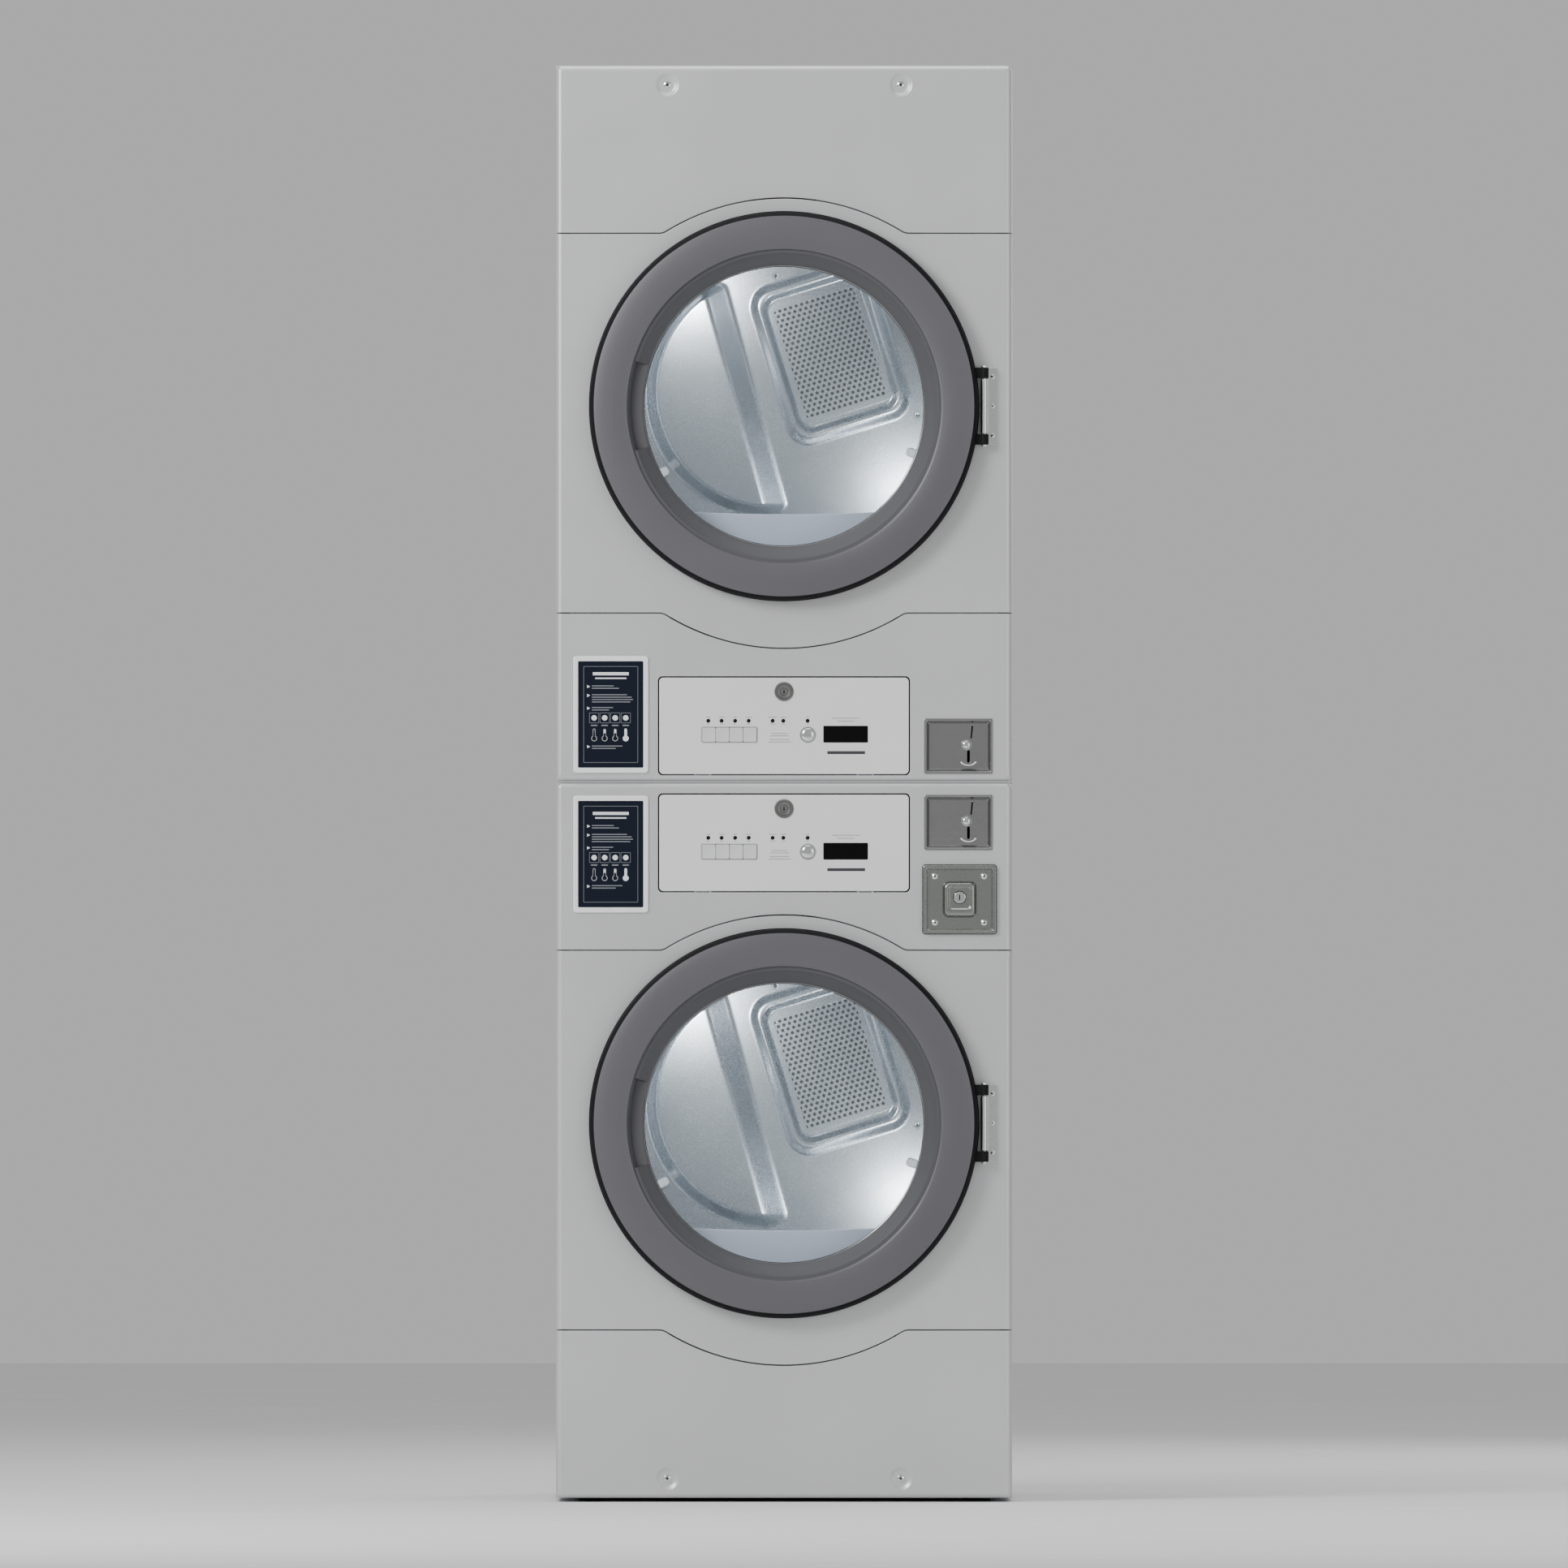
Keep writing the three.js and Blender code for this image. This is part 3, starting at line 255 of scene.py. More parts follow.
def rounded(width, height, radius, x=0.0, z=0.0, steps=6):
    """A rectangle with round corners, as a loop of (x, z) points."""
    loop = []
    for sx, sz, start in ((1, -1, -90), (1, 1, 0), (-1, 1, 90), (-1, -1, 180)):
        for i in range(steps + 1):
            angle = math.radians(start + 90 * i / steps)
            loop.append(
                (
                    x + sx * (width / 2 - radius) + radius * math.cos(angle),
                    z + sz * (height / 2 - radius) + radius * math.sin(angle)
                )
            )
    return loop


def circle(radius, x=0.0, z=0.0, steps=32):
    turn = 2 * math.pi / steps
    return [(x + radius * math.cos(i * turn), z + radius * math.sin(i * turn)) for i in range(steps)]


def plate(loops, front, back, surface, bevel=0.5, resolution=2):
    """A plate with round edges; the first loop is its outline and the rest are holes."""
    curve = bpy.data.curves.new("plate", "CURVE")
    curve.dimensions = "2D"
    curve.fill_mode = "BOTH"
    for loop in loops:
        spline = curve.splines.new("POLY")
        spline.points.add(len(loop) - 1)
        for point, (x, z) in zip(spline.points, loop):
            point.co = (x * MM, z * MM, 0, 1)
        spline.use_cyclic_u = True
    curve.extrude = ((back - front) / 2 - bevel) * MM
    curve.bevel_depth = bevel * MM
    curve.offset = -bevel * MM
    curve.bevel_resolution = resolution
    shape = add_object("plate", curve)
    depsgraph = bpy.context.evaluated_depsgraph_get()
    mesh = bpy.data.meshes.new_from_object(shape.evaluated_get(depsgraph))
    bpy.data.objects.remove(shape)
    centre = (front + back) / 2 * MM
    for vert in mesh.vertices:
        x, z, depth = vert.co
        vert.co = (x, centre - depth, z)
    mesh.materials.clear()
    mesh.materials.append(surface)
    set_edges(mesh)
    return add_object("plate", mesh)


def slab(shape, *depths_and_finish):
    """A plate without holes, whose outline is a rectangle with round corners."""
    return plate([rounded(*shape)], *depths_and_finish)


def moved(piece, x=0.0, y=0.0, z=0.0, tilt=0.0, about="Y"):
    """Turns a piece about an axis through the origin, in degrees, then shifts it in millimetres."""
    turn = Matrix.Rotation(math.radians(tilt), 4, about)
    piece.data.transform(Matrix.Translation(Vector((x, y, z)) * MM) @ turn)
    return piece


def join(name, parts, origin, body, replaced=()):
    """Makes one piece of several, puts it at its place and ties it to its CAD body."""
    first, *rest = parts
    if rest:
        with bpy.context.temp_override(active_object=first, selected_editable_objects=parts):
            bpy.ops.object.join()
    first.name = name
    flatten = first.modifiers.new("shading", "WEIGHTED_NORMAL")
    flatten.keep_sharp = True
    first.data.name = name
    first.data.transform(Matrix.Translation(Vector(origin)))
    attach(first, body)
    if replaced:
        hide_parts(*replaced)
    return first


# ---------- Front panels ----------
EDGE = 9.0  # how far the front rounds away at the cabinet's edges
END = 7.0  # radius of its corners seen from the front
PANEL_DEPTH = 25.0
SCREW_X, SCREW_INSET = 175.6, 29.0  # the service panel's two screws
DOOR_OPENING = 236.0  # radius of the hole behind the door
SEAM_FLAT, SEAM_ARC, SEAM_FILLET, SEAM_GAP = 285.5, 338.5, 20.0, 1.8
WIDE, TALL = HALF_WIDTH / MM, HALF_UNIT / MM
DOOR_RISE = (middle("lower_door_glass").z - middle("lower_cabinet").z) / MM


def arc(x, z, radius, start, end, steps):
    turns = [math.radians(start + (end - start) * i / steps) for i in range(steps + 1)]
    return [(x + radius * math.cos(t), z + radius * math.sin(t)) for t in turns]


def seam(grow):
    """The seam over the door, from right to left, moved outwards by `grow`."""
    fillet_z = SEAM_FLAT + SEAM_FILLET
    fillet_x = math.sqrt((SEAM_ARC + SEAM_FILLET) ** 2 - fillet_z**2)
    turn = math.degrees(math.atan2(fillet_z, fillet_x))
    small = SEAM_FILLET - grow
    return [
        (WIDE, SEAM_FLAT + grow), *arc(fillet_x, fillet_z, small, -90, turn - 180, 6),
        *arc(0, 0, SEAM_ARC + grow, turn, 180 - turn, 64)[1:-1],
        *arc(-fillet_x, fillet_z, small, -turn, -90, 6), (-WIDE, SEAM_FLAT + grow)
    ]


def end_outline(side):
    corners = arc(-WIDE + END, TALL - END, END, 180, 90, 6) + arc(WIDE - END, TALL - END, END, 90, 0, 6)
    return [(x, side * z) for x, z in seam(SEAM_GAP / 2) + corners]


def surround_outline():
    upper = seam(-SEAM_GAP / 2)
    return upper + [(x, -z) for x, z in reversed(upper)]


@contextmanager
def reshaped(piece):
    """Opens a piece's mesh for editing and puts the result back with its edges set."""
    work = bmesh.new()
    work.from_mesh(piece.data)
    yield work
    work.to_mesh(piece.data)
    work.free()
    set_edges(piece.data)


def cut_away(work, doomed):
    """Takes faces away and closes the openings that they leave."""
    bmesh.ops.delete(work, geom=doomed, context="FACES")
    rims = [edge for edge in work.edges if edge.is_boundary]
    bmesh.ops.holes_fill(work, edges=rims, sides=0)


def slice_at(work, point, normal):
    parts = work.verts[:] + work.edges[:] + work.faces[:]
    bmesh.ops.bisect_plane(work, geom=parts, plane_co=point, plane_no=normal, dist=1e-7)


def round_front(panel):
    """Rounds a flat panel's front away towards the unit's outline, as a folded sheet is."""
    steps = [0.15, 0.6, 1.4, 2.6, 4.2, 6.2, EDGE]
    with reshaped(panel) as work:
        for sign in (-1, 1):
            for step in steps:
                slice_at(work, (sign * (WIDE - step) * MM, 0, 0), (1, 0, 0))
                slice_at(work, (0, 0, sign * (TALL - step) * MM), (0, 0, 1))
        for vert in work.verts:
            across = max(0.0, abs(vert.co.x) / MM - (WIDE - EDGE))
            along = max(0.0, abs(vert.co.z) / MM - (TALL - EDGE))
            reach = min(EDGE, math.hypot(across, along))
            drop = EDGE - math.sqrt(max(0.0, EDGE**2 - reach**2))
            vert.co.y = max(vert.co.y, drop * MM)
    return panel


def screw_head(radius, height, surface=CHROME, drive=0.45):
    """A domed screw head with its cross recess drawn as two black bars, painted shade; its seat at y = 0.
    """
    dome = [
        (0, -height), (radius * 0.5, -height * 0.93), (radius * 0.85, -height * 0.6), (radius, -0.1),
        (radius, 0)
    ]
    head = lathe([(max(r, 0.02), y) for r, y in dome], surface, steps=24, closed=False)
    # Two black bars on the dome's top: painted shade where the cross recess would be.
    recess_shade_bars = [
        plate(
            [rounded(w * radius, h * radius, 0.1, steps=1)], -height - 0.05, -height + 0.35, BLACK_AND_SHADE, 0.02, 0
        )
        for w, h in ((drive * 2, 0.25), (0.25, drive * 2))
    ]
    with bpy.context.temp_override(active_object=head, selected_editable_objects=[head, *recess_shade_bars]):
        bpy.ops.object.join()
    return head


FLAP_LOW, FLAP_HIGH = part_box("lower_control_panel")
FLAP_WIDTH = (FLAP_HIGH.x - FLAP_LOW.x) / MM
FLAP_HEIGHT = 145.0
FLAP_GAP = 2.0
POST_X, PIN_RISE = 122.0, 1.5  # the flap's pins: from its middle, and above its lower edge
CATCH = 8.0  # half the width of the slot that the flap lock's cam swings into


def local_z(node, unit):
    """Height of a CAD node's middle from the middle of its unit, in millimetres."""
    return (middle(node).z - middle(f"{unit}_cabinet").z) / MM


def flap_centre(unit):
    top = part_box(f"{unit}_control_panel")[1].z
    return (top - middle(f"{unit}_cabinet").z) / MM - FLAP_HEIGHT / 2


def open_ring(outer, inner, gap):
    """A ring's outline with an opening at its top; gap is half the opening's width."""

    def path(loop):
        ordered = sorted(loop, key=lambda point: math.atan2(point[0], -point[1]))
        top = max(point[1] for point in loop)
        kept = [point for point in ordered if abs(point[0]) > gap or point[1] < 0]
        return [(-gap, top), *kept, (gap, top)]

    return path(outer) + path(inner)[::-1]


def front_panels(unit, side):
    origin = (0, FRONT, middle(f"{unit}_cabinet").z)
    screw_z = -side * (TALL - SCREW_INSET)
    dishes = [circle(17, x, screw_z, 40) for x in (-SCREW_X, SCREW_X)]
    service = [round_front(plate([end_outline(-side), *dishes], 0, PANEL_DEPTH, PAINT, 0.9))]
    bowl = [(17.4, 0.3), (16.4, 0.45), (14.5, 1.6), (12.5, 2.9), (10.5, 3.4)]
    for x in (-SCREW_X, SCREW_X):
        dish = lathe([*bowl, (0.02, 3.4), (0.02, 5), (17.4, 5)], PAINT, steps=40)
        service += [moved(dish, x, 0, screw_z), moved(screw_head(6, 2.4), x, 3.4, screw_z)]
    join(
        f"{unit}_service_panel_skin", service, origin, "machine", [f"{unit}_service_panel"]
    )

    outline = [surround_outline(), circle(DOOR_OPENING, 0, DOOR_RISE, 128)]
    surround = round_front(plate(outline, 0, PANEL_DEPTH, PAINT, 0.9))
    near, far = DOOR_OPENING, DOOR_OPENING + 2
    lip = lathe([(near, 24), (far, 24), (far, 31), (near, 31)], PAINT, steps=128)
    join(
        f"{unit}_door_surround_skin", [surround, moved(lip, 0, 0, DOOR_RISE)], origin, "machine",
        [f"{unit}_door_surround"]
    )

    flap_z = flap_centre(unit)
    coin = middle(f"{unit}_coin_plate")
    coin_z = local_z(f"{unit}_coin_plate", unit)
    hole_w, hole_h = FLAP_WIDTH + 2 * FLAP_GAP, FLAP_HEIGHT + 2 * FLAP_GAP
    holes = [rounded(hole_w, hole_h, 7, 0, flap_z), rounded(99, 79.5, 3, coin.x / MM, coin_z)]
    if side > 0:
        holes.append(rounded(97, 91, 2, middle("coin_box").x / MM, local_z("coin_box", unit)))
    fascia = [round_front(plate([end_outline(side), *holes], 0, PANEL_DEPTH, PAINT, 0.9))]
    outer, inner = rounded(hole_w + 4, hole_h + 4, 8), rounded(hole_w, hole_h, 7)
    trays = [
        plate([outer, inner], PANEL_DEPTH - 0.5, PANEL_DEPTH, ZINC, 0.1),
        plate([open_ring(outer, inner, CATCH)], PANEL_DEPTH, 30, ZINC, 0.1),
        plate([outer, inner], 30, 45, ZINC, 0.3)
    ]
    back = slab((hole_w + 4, hole_h + 4, 8), 43, 45, ZINC, 0.3)
    fascia += [moved(piece, 0, 0, flap_z) for piece in (*trays, back)]
    fascia += pin_posts(flap_z)
    # A dark ring behind the gap round the flap: painted shadow in the gap.
    seal = plate([rounded(hole_w + 3, hole_h + 3, 7), rounded(368, 143.6, 5, 0, -2.8)], 4, 6, SEAL_AND_GAP_SHADE, 0.2)
    fascia.append(moved(seal, 0, 0, flap_z))
    join(
        f"{unit}_control_fascia_skin", fascia, origin, "machine", [f"{unit}_control_fascia"]
    )


def pin_posts(flap_z):
    """The two pins that the control flap turns on, each between two posts."""
    made = []
    for x in (-POST_X, POST_X):
        z = flap_z - FLAP_HEIGHT / 2 + PIN_RISE
        pin = lathe([(0.02, -11), (1.3, -11), (1.3, 11), (0.02, 11)], CHROME, 16, closed=False, axis="X")
        made.append(moved(pin, x, 3, z))
        for side in (-11, 11):
            made.append(slab((3, 7, 0.8, x + side, z - 1), 1.8, 6, ZINC, 0.3))
    return made


# ---------- Doors ----------
RING = [  # radius and depth from the panels' face, from the outer edge round to the back
    (288, -2.5),
    (290.6, -3.2),
    (291.8, -5),
    (292.2, -9),
    (292.2, -26),
    (291.6, -29.5),
    (289.6, -32.6),
    (286, -34.8),
    (280, -36.2),
    (270, -37.3),
    (258, -37.8),
    (248, -37.4),
    (240, -36.2),
    (237.4, -35.6),
    (236.2, -34.9),
]
BEVEL = [
    (236.2, -34.9), (235.6, -33), (235.2, -31.4), (234.2, -30.6), (230.4, -30.2), (229.2, -29.2),
    (228.2, -27.4), (221, -21.0), (215, -15.6), (212.4, -12.6), (211.4, -11)
]
BACK = [
    (211.2, -9.2), (217.6, -9), (217.6, -3), (211.4, -2.6), (214, 15), (216, 18.6), (222, 18.8),
    (225.4, 16), (225.8, -1.6), (252, -2.4), (255, -30), (283, -30), (286, -2.5)
]
PULL = 16.9  # half the angle of the finger pull on the left
PULL_EDGE = 0.5
HINGE_X = (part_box("lower_door_hinge")[0].x + 0.006) / MM
KNUCKLE, KNUCKLE_LENGTH = 50.0, 16.0


def pull_depth(angle):
    """1 inside the finger pull, 0 outside it."""
    off = abs(math.degrees(angle) - 180)
    return min(1.0, max(0.0, (PULL - off) / PULL_EDGE))


def sink_pull(angle, point):
    radius, along = point
    if 212 < radius < 233 and along > -33:
        depth = pull_depth(angle)
        into = min(1.0, (233 - radius) / 4, (radius - 211.8) / 2)
        target = -14.5
        along += depth * max(0.0, into) * (target - along) * 0.92
    return radius, along


def door(unit):
    centre = middle(f"{unit}_door_glass")
    origin = (0, FRONT, centre.z)
    body = f"{unit}_door"
    fine = [math.radians(180 + s * (PULL - k * PULL_EDGE)) for s in (-1, 1) for k in (0, 0.5, 1)]
    even = [2 * math.pi * i / 160 for i in range(160)]
    angles = sorted(even + fine)
    # The ring's rounded outer edge is black: painted shade where the edge turns away from the light.
    edge = lathe(RING[:8], BLACK_AND_SHADE, angles=angles, closed=False)
    ring = lathe(RING[7:], DARK, angles=angles, closed=False)
    # The bevel, the door's back and the finger pull's pad use the door grey painted darker as shade.
    bevel = lathe(BEVEL, SHADED_DOOR_GREY, angles=angles, closed=False, warp=sink_pull)
    back = lathe([BEVEL[-1], *BACK, RING[0]], SHADED_DOOR_GREY, steps=160, closed=False)
    # A thin black band round the ring's outline: painted shadow round the door.
    trim = lathe([(292.6, -13), (293.4, -13), (293.4, -17), (292.6, -17), (292, -15)], BLACK_AND_SHADE, steps=160)
    pad = plate(
        [arc(0, 0, 231.5, 180 - PULL, 180 + PULL, 24) + arc(0, 0, 212.5, 180 + PULL, 180 - PULL, 24)], -17,
        -13, SHADED_DOOR_GREY, 0.4
    )
    seal = lathe(
        [
            (239, -2), (241, -2.6), (249, -2.6), (251, -2), (250, -0.6), (247, -0.3), (243, -0.3),
            (240, -0.6)
        ],
        SEAL_AND_GAP_SHADE, steps=128
    )
    knuckles = []
    for side in (-1, 1):
        low = side * KNUCKLE - KNUCKLE_LENGTH / 2
        eye = lathe(
            [(3.3, low), (5.6, low), (6.5, low + 0.9), (6.5, low + 15.1), (5.6, low + 16), (3.3, low + 16)],
            BLACK_AND_SHADE, steps=28, axis="Z"
        )
        arm = slab((16, KNUCKLE_LENGTH, 1.5, HINGE_X - 9, side * KNUCKLE), -23.4, -14.6, BLACK_AND_SHADE, 0.8)
        knuckles += [moved(eye, HINGE_X, -19, 0), arm]
    join(
        f"{unit}_door_frame", [edge, ring, bevel, back, trim, pad, seal, *knuckles], origin, body,
        [f"{unit}_door_ring"]
    )

    pane = lathe(
        [(0.02, -8.6), (216, -8.6), (216.8, -8), (216.8, -4.2), (216, -3.5), (0.02, -3.5)], GLASS, 160,
        closed=False
    )
    join(f"{unit}_door_pane", [pane], origin, body, [f"{unit}_door_glass"])
    rim = lathe([(210.5, -9.3), (211.6, -9.9), (211.6, -8.9), (210.5, -8.9)], STEEL, steps=160)
    inner = lathe([(209.5, -3.2), (213.5, -3.2), (213.5, -1.6), (210, -2)], SEAL_AND_GAP_SHADE, steps=160)
    join(f"{unit}_door_pane_edging", [rim, inner], origin, body, [])


def door_hinge(unit):
    origin = (0, FRONT, middle(f"{unit}_door_glass").z)
    reach = KNUCKLE - KNUCKLE_LENGTH / 2 - 0.5
    end = KNUCKLE + KNUCKLE_LENGTH / 2
    leaf = slab((26, 2 * end, 3, HINGE_X + 7, 0), -2.3, -0.3, CHROME, 0.4)
    web = slab((6, 2 * reach, 0.8, HINGE_X, 0), -19, -1.5, CHROME, 0.5)
    barrel = lathe(
        [
            (0.02, -reach), (4.9, -reach), (5.5, -reach + 0.8), (5.5, reach - 0.8), (4.9, reach),
            (0.02, reach)
        ],
        CHROME, 32, closed=False, axis="Z"
    )
    pin = lathe(
        [
            (0.02, -end - 2.5), (4.2, -end - 2.5), (5, -end - 1.6), (5, -end - 0.5), (3, -end - 0.5),
            (3, end + 0.5), (5, end + 0.5), (5, end + 1.6), (4.2, end + 2.5), (0.02, end + 2.5)
        ],
        CHROME, 28, closed=False, axis="Z"
    )
    screws = [moved(screw_head(3.4, 1.3), HINGE_X + 13, -2.2, z) for z in (-44, 0, 44)]
    parts = [leaf, web, moved(barrel, HINGE_X, -19), moved(pin, HINGE_X, -19), *screws]
    join(f"{unit}_door_hinge_set", parts, origin, "machine", [f"{unit}_door_hinge"])


# ---------- Inside the drum ----------
GRILLE_AT = (70.0, 87.0)
GRILLE_TILT = 17.2
CELL = 8.7
CELL_COLUMNS, CELL_ROWS = 15, 23
FIELD_SLOPE, FIELD_RIM = 32.0, 15.0  # widths of the raised field's straight and round slopes
WALL_RADIUS = 286.0


def smooth(value):
    value = min(1.0, max(0.0, value))
    return value * value * (3 - 2 * value)


def slope(distance, width, bend):
    """Share of a pressed slope's height at a distance into it; bend is its bends' width."""

    def area(t):
        t = max(t, 0.0)
        return t * t / 2 if t < 1 else t - 0.5

    half = bend / width / 2
    t = distance / width
    return (area(t + half) - area(t - half)) / (2 * half)


def rounded_meet(a, b, radius):
    """The smaller of two distances, with a round corner where they meet."""
    if a < radius and b < radius:
        return radius - math.hypot(radius - a, radius - b)
    return min(a, b)


def box_distance(x, z, half_x, half_z, radius):
    """Distance from a rectangle with round corners; negative inside."""
    dx, dz = abs(x) - half_x + radius, abs(z) - half_z + radius
    return math.hypot(max(dx, 0), max(dz, 0)) + min(max(dx, dz), 0) - radius


def to_grille(x, z):
    turn = math.radians(GRILLE_TILT)
    dx, dz = x - GRILLE_AT[0], z - GRILLE_AT[1]
    return dx * math.cos(turn) + dz * math.sin(turn), -dx * math.sin(turn) + dz * math.cos(turn)


def wall_relief(x, z):
    """How far the rear wall is pressed towards the front, in millimetres."""
    gx, gz = to_grille(x, z)
    outer = slope(-box_distance(gx, gz, 96, 126, 34), 11, 4)
    inner = slope(-box_distance(gx, gz, 81, 109, 26), 8, 4)
    lean = math.radians(15.5)
    straight = -((x + 37) * math.cos(lean) + z * math.sin(lean))
    bow = (190 - math.hypot(x + 19, z - 28)) * FIELD_SLOPE / FIELD_RIM
    field = slope(rounded_meet(straight, bow, 44), FIELD_SLOPE, 9)
    rim = smooth((math.hypot(x, z) - 268) / 14)
    return 6 * outer - 9 * inner + 20 * field + 10 * rim


def rear_wall(unit):
    centre = middle(f"{unit}_drum")
    wall_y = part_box(f"{unit}_heater")[0].y - 2.5 * MM
    origin = (0, wall_y, centre.z)
    step = 2.0
    count = int(2 * WALL_RADIUS / step) + 1
    verts, index, faces = [], {}, []
    for i in range(count):
        for j in range(count):
            x, z = -WALL_RADIUS + i * step, -WALL_RADIUS + j * step
            reach = math.hypot(x, z)
            if reach > WALL_RADIUS + step:
                continue
            if reach > WALL_RADIUS:
                x, z = x * WALL_RADIUS / reach, z * WALL_RADIUS / reach
            index[i, j] = len(verts)
            verts.append((x, -wall_relief(x, z) - 6.0, z))
    for i in range(count - 1):
        for j in range(count - 1):
            corners = [(i, j), (i + 1, j), (i + 1, j + 1), (i, j + 1)]
            if not all(c in index for c in corners):
                continue
            ids = [index[c] for c in corners]
            gx, gz = to_grille(sum(verts[k][0] for k in ids) / 4, sum(verts[k][2] for k in ids) / 4)
            if abs(gx) > 65 or abs(gz) > 87:
                faces.append(ids)
    wall = from_data("wall", verts, faces, ZINC, limit=60)
    frame_rim = plate([rounded(144, 190, 12), rounded(126, 170, 3)], -3.2, -1.4, ZINC, 0.4)
    honeycomb = perforated()
    # A dark plate behind the grille: painted shade seen through its holes.
    hole_shade_plate = slab((128, 172, 3), -0.4, 0.2, ENAMEL_AND_HOLE_SHADE, 0.1)
    parts = [wall]
    for piece in (frame_rim, honeycomb, hole_shade_plate):
        parts.append(moved(moved(piece, tilt=-GRILLE_TILT), GRILLE_AT[0], 0, GRILLE_AT[1]))
    for x, z in ((202, -8), (-12, 203), (-150, 170), (120, -190)):
        lift = wall_relief(x, z) + 6
        washer = lathe([(2, -0.9), (6, -0.9), (6.6, 0), (2, 0.4)], ZINC, 24)
        parts += [moved(washer, x, -lift, z), moved(screw_head(4.2, 2.6), x, -lift - 0.6, z)]
    for x, z, tilt in ((195, -66, 20), (-184, -95, -28)):
        lift = wall_relief(x, z) + 6
        clip = slab((18, 13, 5), -10, 0, WHITE, 1.6)
        parts.append(moved(moved(clip, tilt=tilt), x, -lift, z))
    collar = lathe([(286.6, -28), (289, -28), (289, 0), (286.6, 0)], ZINC, 128)
    plate_back = plate([rounded(676, 628, 12, 0, -4), circle(284, steps=96)], 0, 2, ZINC, 0.4)
    parts += [collar, plate_back]
    join(f"{unit}_rear_wall", parts, origin, "machine", [f"{unit}_rear_bulkhead"])


def perforated():
    """The grille: a sheet with staggered six-sided holes."""
    verts, faces = [], []
    thick = 1.2
    row_step = CELL * math.sqrt(3) / 2
    for row in range(CELL_ROWS):
        for column in range(CELL_COLUMNS):
            cx = (column - (CELL_COLUMNS - 1) / 2 + (0.25 if row % 2 else -0.25)) * CELL
            cz = (row - (CELL_ROWS - 1) / 2) * row_step
            start = len(verts)
            for radius, y in ((CELL / math.sqrt(3), -2.6), (2.75, -2.6), (2.75, -2.6 + thick)):
                for k in range(6):
                    angle = math.radians(60 * k + 30)
                    verts.append((cx + radius * math.cos(angle), y, cz + radius * math.sin(angle)))
            for k in range(6):
                n = (k + 1) % 6
                for ring in (0, 6):
                    faces.append(
                        (start + ring + k, start + ring + n, start + ring + 6 + n, start + ring + 6 + k)
                    )
    return from_data("grille", verts, faces, ZINC, limit=40)


def drum(unit):
    low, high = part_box(f"{unit}_drum")
    origin = (0, 0, middle(f"{unit}_drum").z)
    front, back = low.y / MM, high.y / MM
    inner, outer = 294.0, 296.6
    ribs = []
    for i in range(9):
        y = back - 30 - i * 52
        ribs += [(inner, y + 7), (inner - 1.6, y + 3), (inner - 1.6, y - 3), (inner, y - 7)]
    profile = [
        (inner, back - 1), *ribs, (inner, front + 1.5), (inner + 1.2, front), (outer, front + 1.2),
        (outer, back - 1.2), (inner + 1.2, back)
    ]
    shell = lathe(profile, ZINC, 144)
    parts = [shell]
    for angle in (90, 210, 330):
        parts.append(lifter(front + 30, back - 35, inner, angle))
    join(f"{unit}_drum_basket", parts, origin, f"{unit}_drum", [f"{unit}_drum"])


def lifter(front, back, inner, angle):
    """A rounded vane that carries the load round; its ends slope down to the shell."""
    section = [
        (-42, 1.5), (-36, 4), (-26, 20), (-17, 42), (-10, 52), (0, 55.5), (10, 52), (17, 42), (26, 20),
        (36, 4), (42, 1.5)
    ]
    stations = [
        (front, 0.02), (front + 6, 0.55), (front + 14, 0.86), (front + 26, 1), (back - 26, 1),
        (back - 14, 0.86), (back - 6, 0.55), (back, 0.02)
    ]
    verts = []
    for y, share in stations:
        for x, rise in section:
            verts.append(
                (x, y, inner - 0.2 - rise * share - (x * x) / (2 * inner) * (1 - min(1, rise / 55)))
            )
    faces = grid_faces(len(stations), len(section), wrap=False)
    vane = from_data("lifter", verts, faces, ZINC, limit=50)
    return moved(vane, tilt=angle)


def front_wall(unit):
    """The drum's front wall; its collar is open below, where the lint filter drops into its duct."""
    origin = (0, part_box(f"{unit}_front_bulkhead")[0].y, middle(f"{unit}_drum").z)
    outline = [(-338, -318), (338, -318), (338, 284), (205, 284), (205, 310), (-338, 310)]
    wall = plate([outline, circle(DOOR_OPENING, steps=128)], 0, 2, ZINC, 0.5)
    collar = [
        lathe([(286.6, 1.8), (289, 1.8), (289, 24), (286.6, 24)], ZINC, 144),
        lathe([(286.6, 48), (289, 48), (289, 66), (288, 68), (286.6, 66)], ZINC, 144),
        plate([arc(0, 0, 289, -54, 246, 96) + arc(0, 0, 286.6, 246, -54, 96)], 24, 48, ZINC, 0.2)
    ]
    felt = lathe([(289.1, 52), (292.6, 53), (292.6, 64), (289.1, 65)], SEAL_AND_GAP_SHADE, 144)
    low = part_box(f"{unit}_front_bulkhead")[0]
    bottom = (low.z - origin[2]) / MM
    duct_top = -262
    height, duct_z = duct_top - bottom, (duct_top + bottom) / 2
    duct = [slab((280, height, 2, 25, duct_z), y, y + 2, ZINC, 0.4) for y in (24, 46)]
    duct += [slab((2, height, 0.6, x, duct_z), 25.6, 46.4, ZINC, 0.2) for x in (-114, 164)]
    duct.append(slab((278, 2, 0.6, 25, bottom + 1), 25.6, 46.4, ZINC, 0.2))
    join(
        f"{unit}_front_wall", [wall, *collar, felt, *duct], origin, "machine", [f"{unit}_front_bulkhead"],
    )


